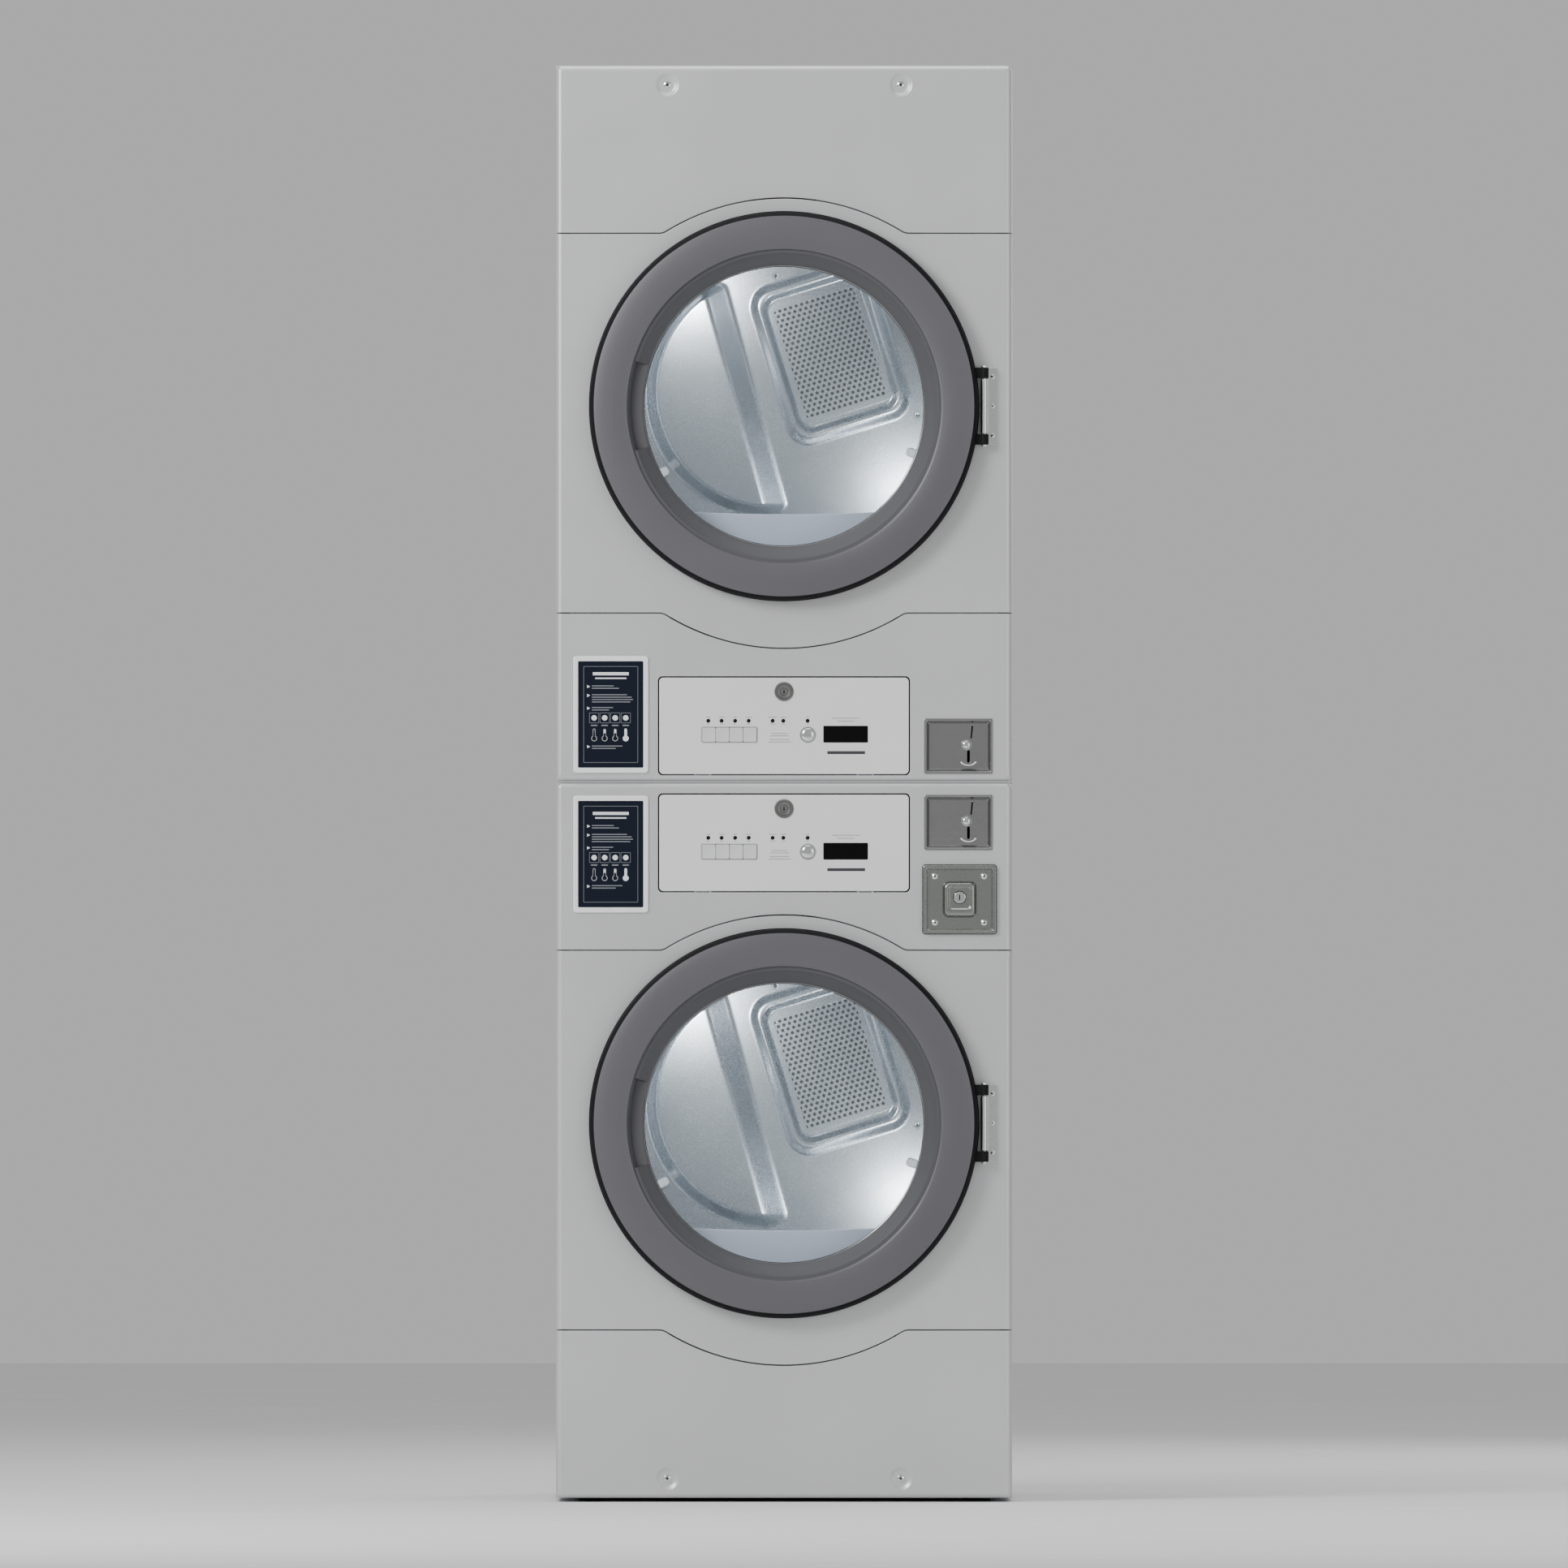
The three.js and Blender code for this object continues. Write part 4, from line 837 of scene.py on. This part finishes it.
def lint_filter(unit):
    low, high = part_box(f"{unit}_lint_filter")
    centre = middle(f"{unit}_drum")
    origin = (0, low.y, centre.z)
    top = (high.z - centre.z) / MM
    bottom = (low.z - centre.z) / MM
    depth = (high.y - low.y) / MM
    curve = DOOR_OPENING - 7  # the cover's lower edge follows the opening
    sweep = math.degrees(math.acos(-top / curve))
    half = math.sqrt(curve**2 - top**2)
    sag = [(half - 2 * half * i / 24, top - 5 * (1 - (1 - i / 12) ** 2)) for i in range(1, 24)]
    cover = plate([arc(0, 0, curve, 270 - sweep, 270 + sweep, 48) + sag], 0.4, depth - 0.2, FILTER, 1.6, 3)
    screen_z = (bottom - 237) / 2
    frame_piece = plate(
        [
            rounded(215, -bottom - 205, 5, 0, (bottom - 205) / 2),
            rounded(196, -bottom - 257, 4, 0, screen_z)
        ],
        4.1, 9.9, FILTER, 0.7
    )
    tall = -bottom - 255
    screen = slab((198, tall, 2, 0, screen_z), 6.3, 7.7, MESH, 0.2)
    ribs = [slab((3, tall, 1, x, screen_z), 5, 9, FILTER, 0.4) for x in (-50, 0, 50)]
    join(
        f"{unit}_lint_screen", [cover, frame_piece, screen, *ribs], origin, f"{unit}_filter",
        [f"{unit}_lint_filter"]
    )


# ---------- Controls ----------
KEYS_X, KEY_PITCH, BUTTONS_Z = -82.0, 20.6, -13.5
START_X, LOCK_Z = 36.0, 51.5
LED_X = (-113.8, -93.8, -73.4, -53, -17, -0.9, 35.6)
LED_Z = 7.5
DISPLAY = (92.8, -12.7, 67.0, 25.2)


def bars(lines, surface=FAINT, thick=0.12, height=1.1):
    """Rows of short printed bars that stand where small print would be: (x, z, width) each."""
    return [slab((width, height, 0.3, x, z, 2), -thick, 0.1, surface, 0.03, 0) for x, z, width in lines]


def control_flap(unit):
    origin = (0, FRONT, middle(f"{unit}_cabinet").z + flap_centre(unit) * MM)
    body = f"{unit}_panel"
    holes = [
        rounded(4 * KEY_PITCH + 0.6, 22.2, 1.6, KEYS_X, BUTTONS_Z), circle(10.9, START_X, BUTTONS_Z, 48),
        circle(12.6, 0, LOCK_Z, 48), rounded(DISPLAY[2], DISPLAY[3], 1.2, DISPLAY[0], DISPLAY[1]),
        *[circle(3.0, x, LED_Z, 20) for x in LED_X]
    ]
    skin = plate([rounded(FLAP_WIDTH, FLAP_HEIGHT, 6, steps=8), *holes], 0, 3, PANEL, 0.8, 3)
    skirt = plate([rounded(367, 137, 5), rounded(363, 133, 4)], 2.6, 20, PANEL, 0.4)
    trim_skirt(skirt)
    parts = [skin, skirt]
    for x in LED_X:
        dome = lathe([(0.02, -0.2), (1.8, 0.0), (2.7, 0.5), (2.9, 3), (0.02, 3)], BLACK_AND_SHADE, 20, closed=False)
        parts.append(moved(dome, x, 0, LED_Z))
    parts.append(slab((DISPLAY[2] - 0.4, DISPLAY[3] - 0.4, 1, *DISPLAY[:2]), 0.5, 2.6, LENS, 0.3))
    for x in (-POST_X, POST_X):
        eye = lathe([(1.7, -9), (2.3, -9), (2.7, -8.5), (2.7, 8.5), (2.3, 9), (1.7, 9)], ZINC, 20, axis="X")
        parts.append(moved(eye, x, 3, PIN_RISE - FLAP_HEIGHT / 2))
    labels = []
    for index, x in enumerate(LED_X):
        width = (7, 9, 5, 10, 13, 9, 6)[index]
        labels += [(x, LED_Z + 5.4, width), (x, LED_Z - 4.6, width * 0.6)]
    for row in range(4):
        labels.append((-6.5, -11.5 - row * 3.6 - (2 if row > 1 else 0), (24, 28, 30, 34)[row]))
    labels += [(DISPLAY[0], 11.4, 42), (DISPLAY[0], 6.8, 26)]
    parts += bars(labels)
    parts += bars([(93.5, -40.3, 57)], surface=NAME, height=4.6)
    parts += key_frame_lines()
    join(f"{unit}_control_flap", parts, origin, body, [f"{unit}_control_panel"])

    for number in range(1, 5):
        key(unit, number, origin)
    start_button(unit, origin)
    panel_lock(unit, origin)


def key_frame_lines():
    """The fine printed line round the row of keys."""
    width, height, line = 4 * KEY_PITCH + 3.4, 25, 0.5
    outer = rounded(width, height, 2.4, KEYS_X, BUTTONS_Z)
    inner = rounded(width - 2 * line, height - 2 * line, 2, KEYS_X, BUTTONS_Z)
    return [plate([outer, inner], -0.12, 0.1, FAINT, 0.03, 0)]


def trim_skirt(skirt):
    """Opens the flap's skirt at its lower wall, where the hinge posts stand."""
    near, far = POST_X - 14, POST_X + 14
    with reshaped(skirt) as work:
        for x in (-far, -near, near, far):
            slice_at(work, (x * MM, 0, 0), (1, 0, 0))
        doomed = []
        for face in work.faces:
            x, _, z = face.calc_center_median() / MM
            if near < abs(x) < far and z < -60:
                doomed.append(face)
        cut_away(work, doomed)


def key(unit, number, origin):
    """A key cap with round edges and a slightly hollow top, and the tabs that hold it."""
    x = KEYS_X + (number - 2.5) * KEY_PITCH
    cap = slab((20.1, 21.4, 1.8), -1.8, 9, KEY, 0.7, 3)
    with reshaped(cap) as work:
        for step in (-6, -3, 0, 3, 6):
            slice_at(work, (step * MM, 0, 0), (1, 0, 0))
            slice_at(work, (0, 0, step * MM), (0, 0, 1))
        for vert in work.verts:
            if vert.co.y < -1.7 * MM:
                reach = math.hypot(vert.co.x, vert.co.z) / MM / 10
                vert.co.y += 0.5 * MM * max(0, 1 - reach**2)
    tabs = slab((19.1, 26.4, 1), 3.4, 5.4, KEY, 0.3)
    body = f"{unit}_key_{number}"
    parts = [moved(cap, x, 0, BUTTONS_Z), moved(tabs, x, 0, BUTTONS_Z)]
    join(f"{unit}_key_cap_{number}", parts, origin, body, [f"{unit}_key_{number}"])


def start_button(unit, origin):
    dome = [(0.02, -3.2), (3, -3.12), (6, -2.8), (8.2, -2.2), (9.6, -1.4), (10.3, -0.5), (10.4, 0.4)]
    skirt = [(10.4, 3.4), (12.6, 3.4), (13, 3.8), (13, 5), (12.6, 5.4), (10.4, 5.4), (10.2, 9), (0.02, 9)]
    button = lathe(dome + skirt, CHROME, 48, closed=False)
    ring = lathe([(11.1, -0.12), (12.4, -0.12), (12.4, 0.1), (11.1, 0.1)], FAINT, 48)
    body = f"{unit}_start"
    join(
        f"{unit}_start_cap", [moved(button, START_X, 0, BUTTONS_Z)], origin, body, [f"{unit}_start_button"],
    )
    join(
        f"{unit}_start_ring", [moved(ring, START_X, 0, BUTTONS_Z)], origin, f"{unit}_panel", [],
    )


def panel_lock(unit, origin):
    bezel = lathe(
        [
            (5.6, -1.6), (9.5, -2.1), (11.6, -2.6), (13.2, -2.5), (14.2, -1.7), (14.5, -0.4), (12, -0.3),
            (12.0, 28.4), (5.6, 28.4)
        ],
        NICKEL, 56
    )
    face = lathe([(0.02, -1.9), (4.9, -1.9), (5.4, -1.4), (5.5, 2), (0.02, 2)], STEEL, 40, closed=False)
    # A black ring in the bezel's groove and black marks for the key slot: painted shade in the groove and
    # the keyway.
    groove = lathe([(10.3, -2.75), (10.7, -2.75), (10.7, -2.2), (10.3, -2.2)], BLACK_AND_SHADE, 56)
    slot = slab((1.5, 6.5, 0.6), -2.0, -0.6, BLACK_AND_SHADE, 0.1)
    ward = slab((3.6, 1.2, 0.4, 0, -1.2), -2.0, -0.6, BLACK_AND_SHADE, 0.1)
    cam = slab((32, 9, 3, 10, 0), 26, 28.5, STEEL, 0.4)
    parts = [moved(piece, 0, 0, LOCK_Z) for piece in (bezel, face, groove, slot, ward, cam)]
    join(f"{unit}_panel_lock_barrel", parts, origin, f"{unit}_lock", [f"{unit}_panel_lock"])


# ---------- Instruction plate and coin entry ----------
# Lengths of the card's lines, by the height at which each group starts.
CARD_TEXT = {42: (33, 41), 28.7: (53, 60, 62, 58), 9.4: (32, 26), -48.4: (46, 36)}


def instruction_plate(unit):
    low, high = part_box(f"{unit}_instruction_plate")
    centre = (low + high) / 2
    origin = (centre.x, FRONT, centre.z)
    width, height = (high.x - low.x) / MM, (high.z - low.z) / MM
    border = plate(
        [rounded(width, height, 5), rounded(width - 15, height - 16, 1.5)], -3.3, -0.3, BRIGHT_COAT_AND_HIGHLIGHT, 1.3, 3
    )
    card = slab((width - 14, height - 15, 1.5), -1.6, -0.4, CARD, 0.2)
    line_w, line_h = width - 31, height - 31
    rule = plate(
        [rounded(line_w, line_h, 0.6), rounded(line_w - 1.3, line_h - 1.3, 0.4)], -1.75, -1.55, SMALL, 0.03,
        0
    )
    face = -1.6

    def ink(loop, surface=INK):
        return plate(
            loop if isinstance(loop[0], list) else [loop], face - 0.15, face + 0.05, surface, 0.03, 0
        )

    parts = [border, card, rule]
    for z, length, size in ((61.3, 54, 4.6), (54.4, 47, 2.2)):
        parts.append(ink(rounded(length, size, 0.6, 0, z, 2)))
    for z, lengths in CARD_TEXT.items():
        parts.append(ink([(-35.6, z + 2.4), (-31, z), (-35.6, z - 2.4)]))
        for row, length in enumerate(lengths):
            parts.append(ink(rounded(length, 1.5, 0.4, -28.5 + length / 2, z + 1 - row * 3.6, 1), SMALL))
    for column in range(4):
        x = -25 + column * 15.85
        parts.append(ink([rounded(14.6, 15.6, 0.8, x, -5.1), rounded(13.4, 14.4, 0.5, x, -5.1)], SMALL))
        parts.append(ink(circle(4.1, x, -5.1, 24)))
        parts.append(ink(rounded(10, 2, 0.5, x, -16.4, 1), SMALL))
        bulb = arc(x, -36, 4.4, 118, 422, 20) + arc(x, -23.2, 2.1, 0, 180, 8)
        if column == 3:
            parts.append(ink(bulb))
            continue
        hollow = arc(x, -36, 3.3, 118, 422, 20) + arc(x, -23.2, 1.1, 0, 180, 8)
        parts.append(ink([bulb, hollow], FAINT))
        if column:
            parts.append(ink(rounded(2.6, 7, 1, x, -24.6, 2)))
    join(f"{unit}_instruction_card", parts, origin, "machine", [f"{unit}_instruction_plate"])


def dished(width, height, inset, front, depth, surface, radius=3.0, rim=4.0):
    """A pressed tray: a round-edged rim that falls to a flat floor, as one skin."""
    rings = [
        (0, front + 0.5, radius), (0.4, front + 0.1, radius), (1.0, front, radius),
        (rim - 0.8, front, radius - 0.5), (rim, front + 0.3, radius - 0.6),
        (rim + inset * 0.25, front + 0.3 + depth * 0.3, radius),
        (rim + inset * 0.8, front + 0.3 + depth * 0.88, radius), (rim + inset, front + 0.3 + depth, radius)
    ]
    verts, steps = [], 5
    for shrink, y, corner in rings:
        verts += [
            (x, y, z)
            for x, z in rounded(width - 2 * shrink, height - 2 * shrink, max(0.6, corner), steps=steps)
        ]
    faces = grid_faces(len(rings), 4 * (steps + 1))
    return from_data("tray", verts, faces, surface, limit=50)


COIN_SLOT, RETURN, CUP = (20, 22), (12, 2), (15, -15.5)
DRAWER_OPEN_Z = 40.0  # the drawer has no walls above this height from its middle
DRAWER_LOCK_Z = 3.0
DRAWER_SCREWS = (37, 34.8)


def coin_entry(unit):
    low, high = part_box(f"{unit}_coin_plate")
    origin = ((low.x + high.x) / 2, FRONT, middle(f"{unit}_coin_plate").z)
    width, height = (high.x - low.x) / MM, (high.z - low.z) / MM
    rim = dished(width, height, 4, -1.6, 7, STEEL, 2.5, 3.4)
    floor_w, floor_h = width - 14.6, height - 14.6
    slot = [
        (
            x * math.cos(math.radians(6)) + z * math.sin(math.radians(6)) + COIN_SLOT[0],
            z * math.cos(math.radians(6)) - x * math.sin(math.radians(6)) + COIN_SLOT[1]
        )
        for x, z in rounded(2.2, 21, 1)
    ]
    floor_plate = plate(
        [rounded(floor_w, floor_h, 2), slot, circle(6.4, *RETURN, 40), rounded(4.2, 19, 1.8, *CUP)], 5.6,
        7.6, STEEL, 0.35
    )
    # A black plate behind the floor plate's openings: painted shade inside the coin well.
    well_shade_plate = slab((floor_w - 2, floor_h - 2, 2), 32, 34, BLACK_AND_SHADE, 0.2)
    housing = plate([rounded(76, 66, 3, 6, 0), rounded(72, 62, 2, 6, 0)], 7.6, 56, ZINC, 0.4)
    lip = cup_lip()
    collar = lathe([(6.5, 4.9), (7.6, 5.0), (8, 5.7), (6.5, 5.8)], CHROME, 40)
    guard = plate([rounded(6.2, 21, 2.6, *CUP), rounded(4.2, 19, 1.8, *CUP)], 5.1, 6, STEEL, 0.25)
    parts = [rim, floor_plate, well_shade_plate, housing, lip, moved(collar, RETURN[0], 0, RETURN[1]), guard]
    join(f"{unit}_coin_entry", parts, origin, "machine", [f"{unit}_coin_plate"])

    cap = lathe(
        [(0.02, 2.5), (3, 2.6), (4.9, 3.0), (5.8, 3.8), (6, 4.6), (6, 21.6), (0.02, 21.6)], CHROME, 40,
        closed=False
    )
    join(
        f"{unit}_coin_return_cap", [moved(cap, RETURN[0], 0, RETURN[1])], origin, f"{unit}_coin_return",
        [f"{unit}_coin_return_button"]
    )


def cup_lip():
    """The half-moon lip below the return slot, near white: a painted highlight that stands in for its
    chrome's reflection.
    """
    verts, steps, rise = [], 18, 6
    for i in range(steps + 1):
        turn = math.radians(200 + 140 * i / steps)
        for k in range(rise + 1):
            lift = math.pi * k / rise
            radius = 12 + 1.5 * math.cos(lift)
            along, drop = radius * math.cos(turn), radius * math.sin(turn) * 0.7
            verts.append((CUP[0] + along, 5.4 - 3.2 * math.sin(lift), CUP[1] - 5 + drop))
    return from_data("lip", verts, grid_faces(steps + 1, rise + 1, wrap=False), BRIGHT_COAT_AND_HIGHLIGHT, 60)


def coin_drawer():
    low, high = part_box("coin_box")
    centre = (low + high) / 2
    origin = (centre.x, FRONT, centre.z)
    outer = dished(110, 103, 2.6, -7, 5, DRAWER, 4, 4.2)
    floor_plate = plate(
        [rounded(97.5, 90.5, 2), circle(9.4, 0, DRAWER_LOCK_Z, 48)], -1.8, -0.4, DRAWER, 0.3
    )
    # A dark ring behind the drawer's outer rim: painted shadow in the gap round the drawer.
    gap_shadow_ring = plate([rounded(112.4, 105.4, 5), rounded(99, 92, 2)], -0.9, -0.3, SEAL_AND_GAP_SHADE, 0.1)
    back_lip = plate([rounded(109, 102, 3.5), rounded(98, 91, 2)], -6.4, -0.9, DRAWER, 0.3)
    boss = raised_boss()
    body = plate([rounded(93.6, 87.6, 2), rounded(89.6, 83.6, 2)], 1, 190, ZINC, 0.4)
    drop_top(body)
    front_wall_piece = plate(
        [rounded(93.6, 87.6, 2), circle(9.4, 0, DRAWER_LOCK_Z, 40)], -0.5, 1.6, ZINC, 0.2
    )
    back_wall_piece = slab((92, 84, 2, 0, -1), 191, 193, ZINC, 0.3)
    parts = [outer, floor_plate, gap_shadow_ring, back_lip, boss, body, front_wall_piece, back_wall_piece]
    for x in (-DRAWER_SCREWS[0], DRAWER_SCREWS[0]):
        for z in (-DRAWER_SCREWS[1], DRAWER_SCREWS[1]):
            parts.append(moved(screw_head(5.2, 3.4), x, -1.8, z))
    join("coin_drawer", parts, origin, "coin_box", ["coin_box"])

    barrel = lathe(
        [(0.02, -7.8), (7.6, -7.8), (8.6, -7.4), (9, -6.6), (9, 5.9), (0.02, 5.9)], CHROME, 48, closed=False
    )
    # The key slot is a black mark: painted shade in the keyway.
    slot = slab((1.8, 8.5, 0.8), -7.95, -6.8, BLACK_AND_SHADE, 0.1)
    ring = lathe([(6.4, -8.0), (7.0, -8.15), (7.4, -7.9), (6.4, -7.7)], STEEL, 48)
    cam = slab((26, 8, 2.5, 8, 0), 3.5, 6, STEEL, 0.4)
    parts = [moved(piece, 0, 0, DRAWER_LOCK_Z) for piece in (barrel, slot, ring, cam)]
    join("coin_drawer_lock", parts, origin, "coin_lock", ["coin_box_lock"])


def drop_top(body):
    """Takes the drawer's top wall away."""
    with reshaped(body) as work:
        slice_at(work, (0, 0, DRAWER_OPEN_Z * MM), (0, 0, 1))
        top = (DRAWER_OPEN_Z + 0.01) * MM
        cut_away(work, [face for face in work.faces if face.calc_center_median().z > top])


def raised_boss():
    """The squared boss round the drawer's lock: a sloping outside and a sunk middle."""
    rings = [
        (51, 55, 9, -1.8, 0), (48.5, 52.5, 8, -4.0, 0), (45, 49, 8, -7.2, 0), (42, 46, 7, -8.2, 0),
        (37, 38, 7, -8.5, 2.4), (34.6, 35.6, 6, -8.0, 2.7), (32, 33, 5, -6.4, 3), (30, 31, 5, -6.1, 3),
        (20, 20, 9.4, -6.0, 3)
    ]
    verts, steps = [], 5
    for width, height, radius, y, z in rings:
        verts += [(a, y, b) for a, b in rounded(width, height, radius, 0, z, steps)]
    faces = grid_faces(len(rings), 4 * (steps + 1))
    return from_data("boss", verts, faces, DRAWER, 50)


# ---------- Back ----------
COVER_MIDDLE, COVER_SCREW = (30, 30), (198, 138)
TERMINAL_BOX = (225, -270)
EXHAUST = (-60, -452)


def back_screw(x, z, radius=4.2):
    return moved(moved(screw_head(radius, 2.0), tilt=180, about="Z"), x, 0, z)


def louvre(x, z, width=70.0):
    """A pressed vent: a hood that opens downwards."""
    verts, steps = [], 6
    stations = (-1, -0.86, -0.7, 0.7, 0.86, 1)
    for along in stations:
        rise = 1 if abs(along) < 0.8 else (0.6 if abs(along) < 0.9 else 0)
        for k in range(steps + 1):
            turn = math.pi / 2 * k / steps
            verts.append(
                (along * width / 2, 0.1 + 6.5 * rise * math.sin(turn), 7 - 12 * (1 - math.cos(turn)))
            )
    faces = grid_faces(len(stations), steps + 1, wrap=False)
    return moved(from_data("louvre", verts, faces, PAINT, 60), x, 0, z)


def back_details(unit):
    """Rear access cover, terminal box, vents and the screws that hold the rear sheet."""
    origin = (0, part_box(f"{unit}_heater")[1].y + 15 * MM, middle(f"{unit}_cabinet").z)
    cover = slab((420, 300, 12, *COVER_MIDDLE), 0.1, 1.9, PAINT, 0.8, 2)
    parts = [cover]
    for column in (-1, 0, 1):
        for row in (-1, 1):
            x, z = COVER_MIDDLE[0] + column * COVER_SCREW[0], COVER_MIDDLE[1] + row * COVER_SCREW[1]
            parts.append(moved(back_screw(x, z), 0, 1.8, 0))
    for x in (-318, 318):
        for row in range(6):
            parts.append(back_screw(x, -450 + row * 180))
    for column in (-110, 0, 110):
        for row in range(4):
            parts.append(louvre(column, 400 + row * 24))
    box = slab((110, 150, 6, *TERMINAL_BOX), 0.1, 24, PAINT, 1.5, 2)
    lid = slab((116, 156, 7, *TERMINAL_BOX), 21, 25.6, PANEL, 1.0, 2)
    parts += [box, lid]
    for rise in (-65, 65):
        screw = back_screw(TERMINAL_BOX[0], TERMINAL_BOX[1] + rise, 3.4)
        parts.append(moved(screw, 0, 25.5, 0))
    gland = lathe([(8, 0), (12, 0), (13, -2), (13, -8), (11, -12), (8, -12)], BLACK_AND_SHADE, 32, axis="Z")
    parts.append(moved(gland, TERMINAL_BOX[0], 12, TERMINAL_BOX[1] - 75))
    bead = lathe([(50.1, 30), (51.4, 31), (51.4, 32.4), (50.1, 33.4)], ZINC, 64)
    flange = lathe([(50.2, 0.1), (60, 0.1), (60, 1.2), (51.4, 1.6), (50.2, 5)], ZINC, 64)
    for ring in (bead, flange):
        parts.append(moved(ring, EXHAUST[0], 0, EXHAUST[1]))
    join(f"{unit}_back_details", parts, origin, "machine", [])


for unit, side in UNITS.items():
    front_panels(unit, side)
    door(unit)
    door_hinge(unit)
    rear_wall(unit)
    drum(unit)
    front_wall(unit)
    lint_filter(unit)
    control_flap(unit)
    instruction_plate(unit)
    coin_entry(unit)
    back_details(unit)
coin_drawer()


# ---------- Camera, floor and light ----------
FLOOR_REACH = 14
LIGHT_TARGET = (0, 0, 1.08)
DRUM_LAMPS = (("upper_left", -0.15, 0.19, 1.1), ("lower_right", 0.2, -0.12, 0.6))  # x, z, power
CAMERA_DISTANCE = 60.0
CAMERA_HEIGHT = 1.0795
FRAME_WIDTH = 2.3577  # width of the picture at the doors
SENSOR = 36.0


def studio():
    floor_mesh = bpy.data.meshes.new("floor")
    turns = ((-1, -1), (1, -1), (1, 1), (-1, 1))
    corners = [(x * FLOOR_REACH, y * FLOOR_REACH, 0) for x, y in turns]
    floor_mesh.from_pydata(corners, [], [(0, 1, 2, 3)])
    floor = add_object("floor", floor_mesh)
    floor_mesh.materials.append(material("pale_floor", (0.8, 0.8, 0.8), 0.7, 0.0, grain=(40, 0.05)))

    world = bpy.data.worlds.new("studio")
    bpy.context.scene.world = world
    world.use_nodes = True
    world.node_tree.nodes["Background"].inputs["Color"].default_value = (1, 1, 1, 1)
    world.node_tree.nodes["Background"].inputs["Strength"].default_value = 0.5

    def panel_light(name, place, target, width, height, power):
        data = bpy.data.lights.new(name, "AREA")
        data.shape = "RECTANGLE"
        data.size, data.size_y, data.energy = width, height, power
        lamp = bpy.data.objects.new(name, data)
        bpy.context.scene.collection.objects.link(lamp)
        lamp.location = place
        lamp.rotation_euler = (Vector(target) - Vector(place)).to_track_quat("-Z", "Y").to_euler()

    panel_light("key", (-3.2, -4.2, 3.4), LIGHT_TARGET, 2.0, 2.0, 225)
    panel_light("fill", (3.0, -4.6, 1.6), LIGHT_TARGET, 2.5, 2.5, 30)
    panel_light("top", (0, -0.5, 4.6), (0, 0, 1), 3, 3, 70)
    panel_light("back", (2.5, 4.0, 2.6), LIGHT_TARGET, 2.5, 2.5, 60)
    for unit in UNITS:
        drum_z = middle(f"{unit}_drum").z
        for name, x, z, power in DRUM_LAMPS:
            target = (-x / 3, 0.2, drum_z - z / 3)
            panel_light(f"{unit}_drum_{name}", (x, -0.22, drum_z + z), target, 0.08, 0.03, power)


def camera():
    data = bpy.data.cameras.new("camera")
    data.sensor_width = SENSOR
    data.lens = SENSOR * CAMERA_DISTANCE / FRAME_WIDTH
    data.clip_end = 100
    made = bpy.data.objects.new("camera", data)
    bpy.context.scene.collection.objects.link(made)
    made.location = (0, FRONT - CAMERA_DISTANCE, CAMERA_HEIGHT)
    made.rotation_euler = (math.radians(90), 0, 0)
    bpy.context.scene.camera = made


studio()
camera()

# ---------- Finish of the CAD nodes ----------
WELD, SOFT_EDGE = 0.00001, 0.0007  # metres
FINISH = {
    "silver_paint": PAINT, "panel_paint": PANEL, "zinc_sheet": ZINC, "door_plastic": DARK,
    "door_glass": GLASS, "stainless": STEEL, "chrome": CHROME, "key_plastic": KEY, "filter_plastic": FILTER,
    "motor_steel": ENAMEL_AND_HOLE_SHADE, "black_plastic": BLACK_AND_SHADE, "rubber": BELT
}
for entry in frame["record"]["subparts"]:
    node = frame["nodes"][entry["node"]]
    for place in node.material_slots:
        place.material = FINISH[entry["material_slot"]]
    if node.hide_render or entry["node"].endswith("_cabinet"):  # cabinets keep plain folded edges
        continue
    weld = node.modifiers.new("weld", "WELD")
    weld.merge_threshold = WELD
    soften = node.modifiers.new("edges", "BEVEL")
    soften.width = SOFT_EDGE
    soften.segments = 2
    soften.limit_method = "ANGLE"
    soften.angle_limit = math.radians(40)
    flatten = node.modifiers.new("shading", "WEIGHTED_NORMAL")
    flatten.keep_sharp = True
